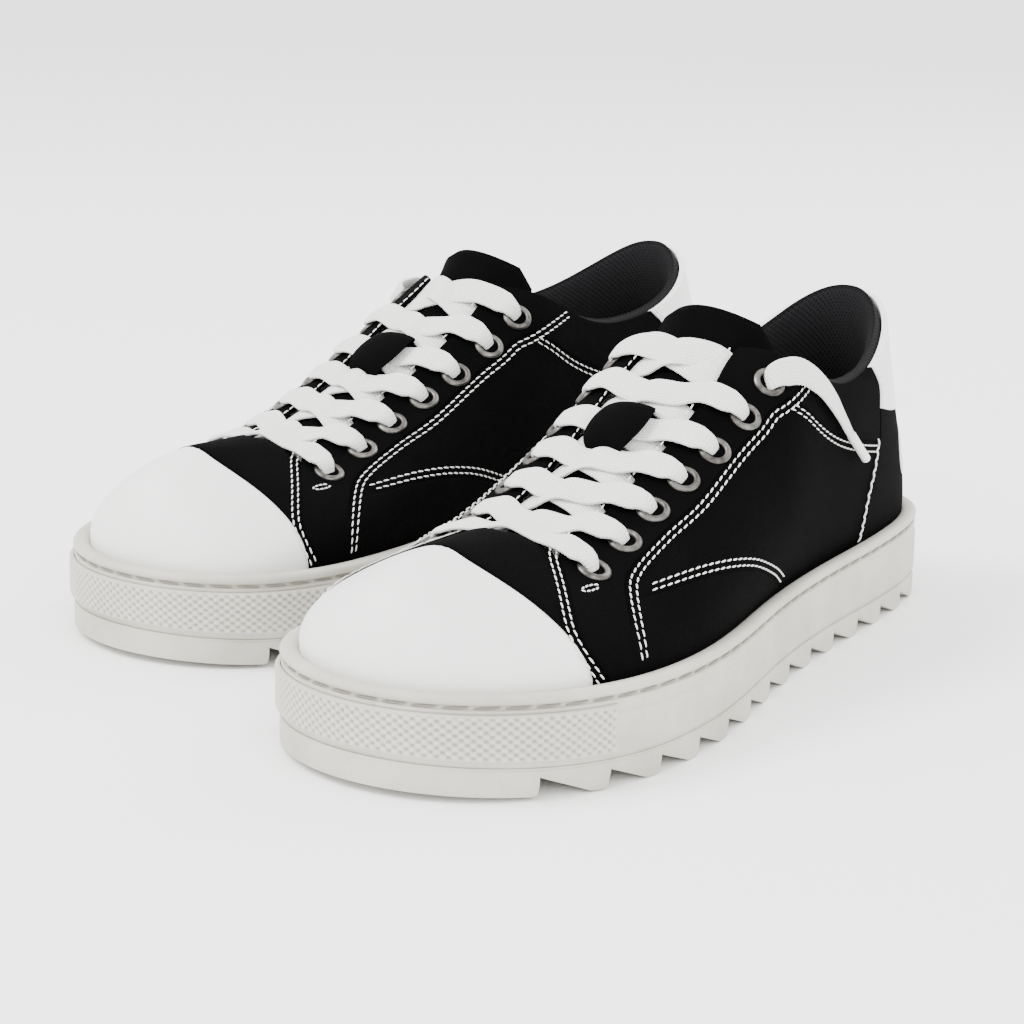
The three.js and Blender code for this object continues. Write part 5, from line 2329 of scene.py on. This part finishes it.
    def eyelet_ring(self, side: int, row: int) -> Shape:
        """One turned metal eyelet.

        Args:
            side: 1 outside the foot, -1 inside.
            row: eyelet, 0 nearest the toe.

        Returns:
            The closed body.
        """
        centre, normal, along = self.eyelet(side, row)
        across = np.cross(along, normal)
        profile = [(self.bore, -2.9), (3.05, 0.9), (3.12, 1.35), (3.4, 1.68), (3.8, 1.78), (4.3, 1.72)]
        profile += [(4.75, 1.5), (5.1, 1.12), (self.flange, 0.8), (5.1, 0.62), (3.7, 0.62), (3.7, -2.9)]
        angles = np.arange(36) * math.tau / 36
        circle = np.cos(angles)[:, None] * across + np.sin(angles)[:, None] * along
        rings = np.array([centre + circle * r + normal * z for r, z in profile])
        return tube(rings, closed=True)

    def strip(self, side: int) -> Shape:
        """Reinforcement strip behind the eyelets.

        Args:
            side: 1 outside the foot, -1 inside.

        Returns:
            The closed body.
        """

        def place(s: Array, t: Array) -> tuple[Array, Array]:
            """Round the curve through the eyelets."""
            found = catmull(EYELETS, t)
            return found[..., 0], found[..., 1] + (s - 0.5) * 0.12

        edges = (Edge.OVER,) * 4
        return Panel(on_side(side, place), edges, -1.75, 0.6, 3.0).build()

    def tail(self, bench: Bench) -> None:
        """Free tail of the lace with its sheath.

        Args:
            bench: puts pieces in the scene.
        """
        lying = unit(np.array([-0.4, 0.3, 0.85]))
        knots = [(np.array(spot[:3]), lying, spot[3]) for spot in TAIL_ROUTE]
        piece = bench.put("free_tail", self.ribbon(knots, 0.9), Finishes.lace, ["lace_tail"], sharp_deg=80)
        rod = self.rod(AGLET_ROUTE, self.sheath_radius)
        sheath = bench.put("tail_sheath", rod, Finishes.film, ["aglet"])
        route = catmull(np.array(TAIL_ROUTE)[:, :3], np.linspace(0, 1, 60))
        world = bench.stance.to_world(route)

    def build(self, bench: Bench) -> None:
        """Puts the lace, its ends and the eyelets in place.

        Args:
            bench: puts pieces in the scene.
        """
        self.tail(bench)
        bench.put("flat_lace", self.ribbon(self.knots()), Finishes.lace, ["lace"], sharp_deg=80)
        centre = self.eyelet(-1, len(EYELETS) - 1)[0]
        sheath = self.rod(centre + np.array(INNER_AGLET), self.inner_sheath_radius)
        bench.put("inner_sheath", sheath, Finishes.film, ["aglet_inner"])
        for side, word in ((1, "lateral"), (-1, "medial")):
            rings = [self.eyelet_ring(side, row) for row in range(len(EYELETS))]
            bench.put(f"eyelets_{word}", Shape.joined(rings), Finishes.metal, [f"eyelet_row_{word}"])
            bench.put(f"eyelet_strip_{word}", self.strip(side), Finishes.canvas)


# ---- studio ----


@dataclass(frozen=True)
class Studio:
    """Camera, floor and soft lights."""

    azimuth_deg: float = 35.504
    elevation_deg: float = 13.702
    roll_deg: float = 0.988
    distance: float = 0.83007
    aim: tuple[float, float] = (-0.046807, 0.048809)
    lens_mm: float = 91.16
    sensor_mm: float = 36.0
    floor_half: float = 6.0
    floor_tone: float = 0.97
    surround: float = 2.5
    light_aim: float = 0.05

    def _axes(self) -> tuple[Vector, Vector, Vector]:
        """Right, up and back directions of the camera.

        Returns:
            Right, up and back.
        """
        az, el, roll = (math.radians(a) for a in (self.azimuth_deg, self.elevation_deg, self.roll_deg))
        right = Vector((math.cos(az), math.sin(az), 0))
        up = Vector((-math.sin(az) * math.sin(el), math.cos(az) * math.sin(el), math.cos(el)))
        back = Vector((math.sin(az) * math.cos(el), -math.cos(az) * math.cos(el), math.sin(el)))
        return (
            right * math.cos(roll) + up * math.sin(roll),
            up * math.cos(roll) - right * math.sin(roll),
            back,
        )

    def camera(self) -> None:
        """Camera at the viewing angle, aimed past the left shoe."""
        right, up, back = self._axes()
        origin = Vector((*(shift / 1000 for shift in LEFT.shift), 0))
        place = origin + back * self.distance + right * self.aim[0] + up * self.aim[1]
        data = bpy.data.cameras.new("camera")
        data.lens = self.lens_mm
        data.sensor_width = self.sensor_mm
        data.clip_start = 0.02
        eye = bpy.data.objects.new("camera", data)
        eye.matrix_world = Matrix(
            [[right[k], up[k], back[k], place[k]] for k in range(3)] + [[0, 0, 0, 1]]
        )
        bpy.context.scene.collection.objects.link(eye)
        bpy.context.scene.camera = eye

    def light(self, name: str, place: Sequence[float], size: float, power: float) -> None:
        """Soft square light that looks at the shoes.

        Args:
            name: name of the light.
            place: where it hangs, in metres.
            size: side of its square, in metres.
            power: its power, in watts.
        """
        data = bpy.data.lights.new(name, "AREA")
        data.shape = "SQUARE"
        data.size = size
        data.energy = power
        lamp = bpy.data.objects.new(name, data)
        lamp.location = place
        away = Vector(place) - Vector((0, 0, self.light_aim))
        lamp.rotation_euler = away.to_track_quat("Z", "Y").to_euler()
        bpy.context.scene.collection.objects.link(lamp)

    def floor(self) -> None:
        """Plain pale floor."""
        mesh = bpy.data.meshes.new("floor")
        half = self.floor_half
        corners = [(-half, -half, 0), (half, -half, 0), (half, half, 0), (-half, half, 0)]
        mesh.from_pydata(corners, [], [(0, 1, 2, 3)])
        recipe = Recipe("pale_floor")
        recipe.feed(Base_Color=(self.floor_tone,) * 3, Roughness=0.95)
        mesh.materials.append(recipe.material)
        floor = bpy.data.objects.new("floor", mesh)
        bpy.context.scene.collection.objects.link(floor)

    def world(self) -> None:
        """Even pale surroundings."""
        world = bpy.data.worlds.new("studio")
        world.use_nodes = True
        background = world.node_tree.nodes["Background"]
        background.inputs[0].default_value = (1, 1, 1, 1)
        background.inputs[1].default_value = self.surround
        bpy.context.scene.world = world

    def build(self) -> None:
        """Camera, floor and lights."""
        self.camera()
        self.floor()
        self.world()
        self.light("key", (-0.9, -1.1, 1.7), 1.2, 62)
        self.light("fill", (1.6, -0.9, 1.1), 1.4, 26)
        self.light("rim", (0.5, 1.6, 1.3), 1.2, 20)


# ---- the pair ----


def main() -> None:
    """Builds the studio and both shoes."""
    Studio().build()
    tongue = Tongue()
    laces = Laces(tongue)
    for stance in (LEFT, RIGHT):
        bench = Bench(stance)
        laces.build(bench)
        Sole().build(bench)
        Upper().build(bench)
        Lining().build(bench)
        tongue.build(bench, laces)
        log.info("%s shoe done", stance.side)


if __name__ == "__main__":
    main()
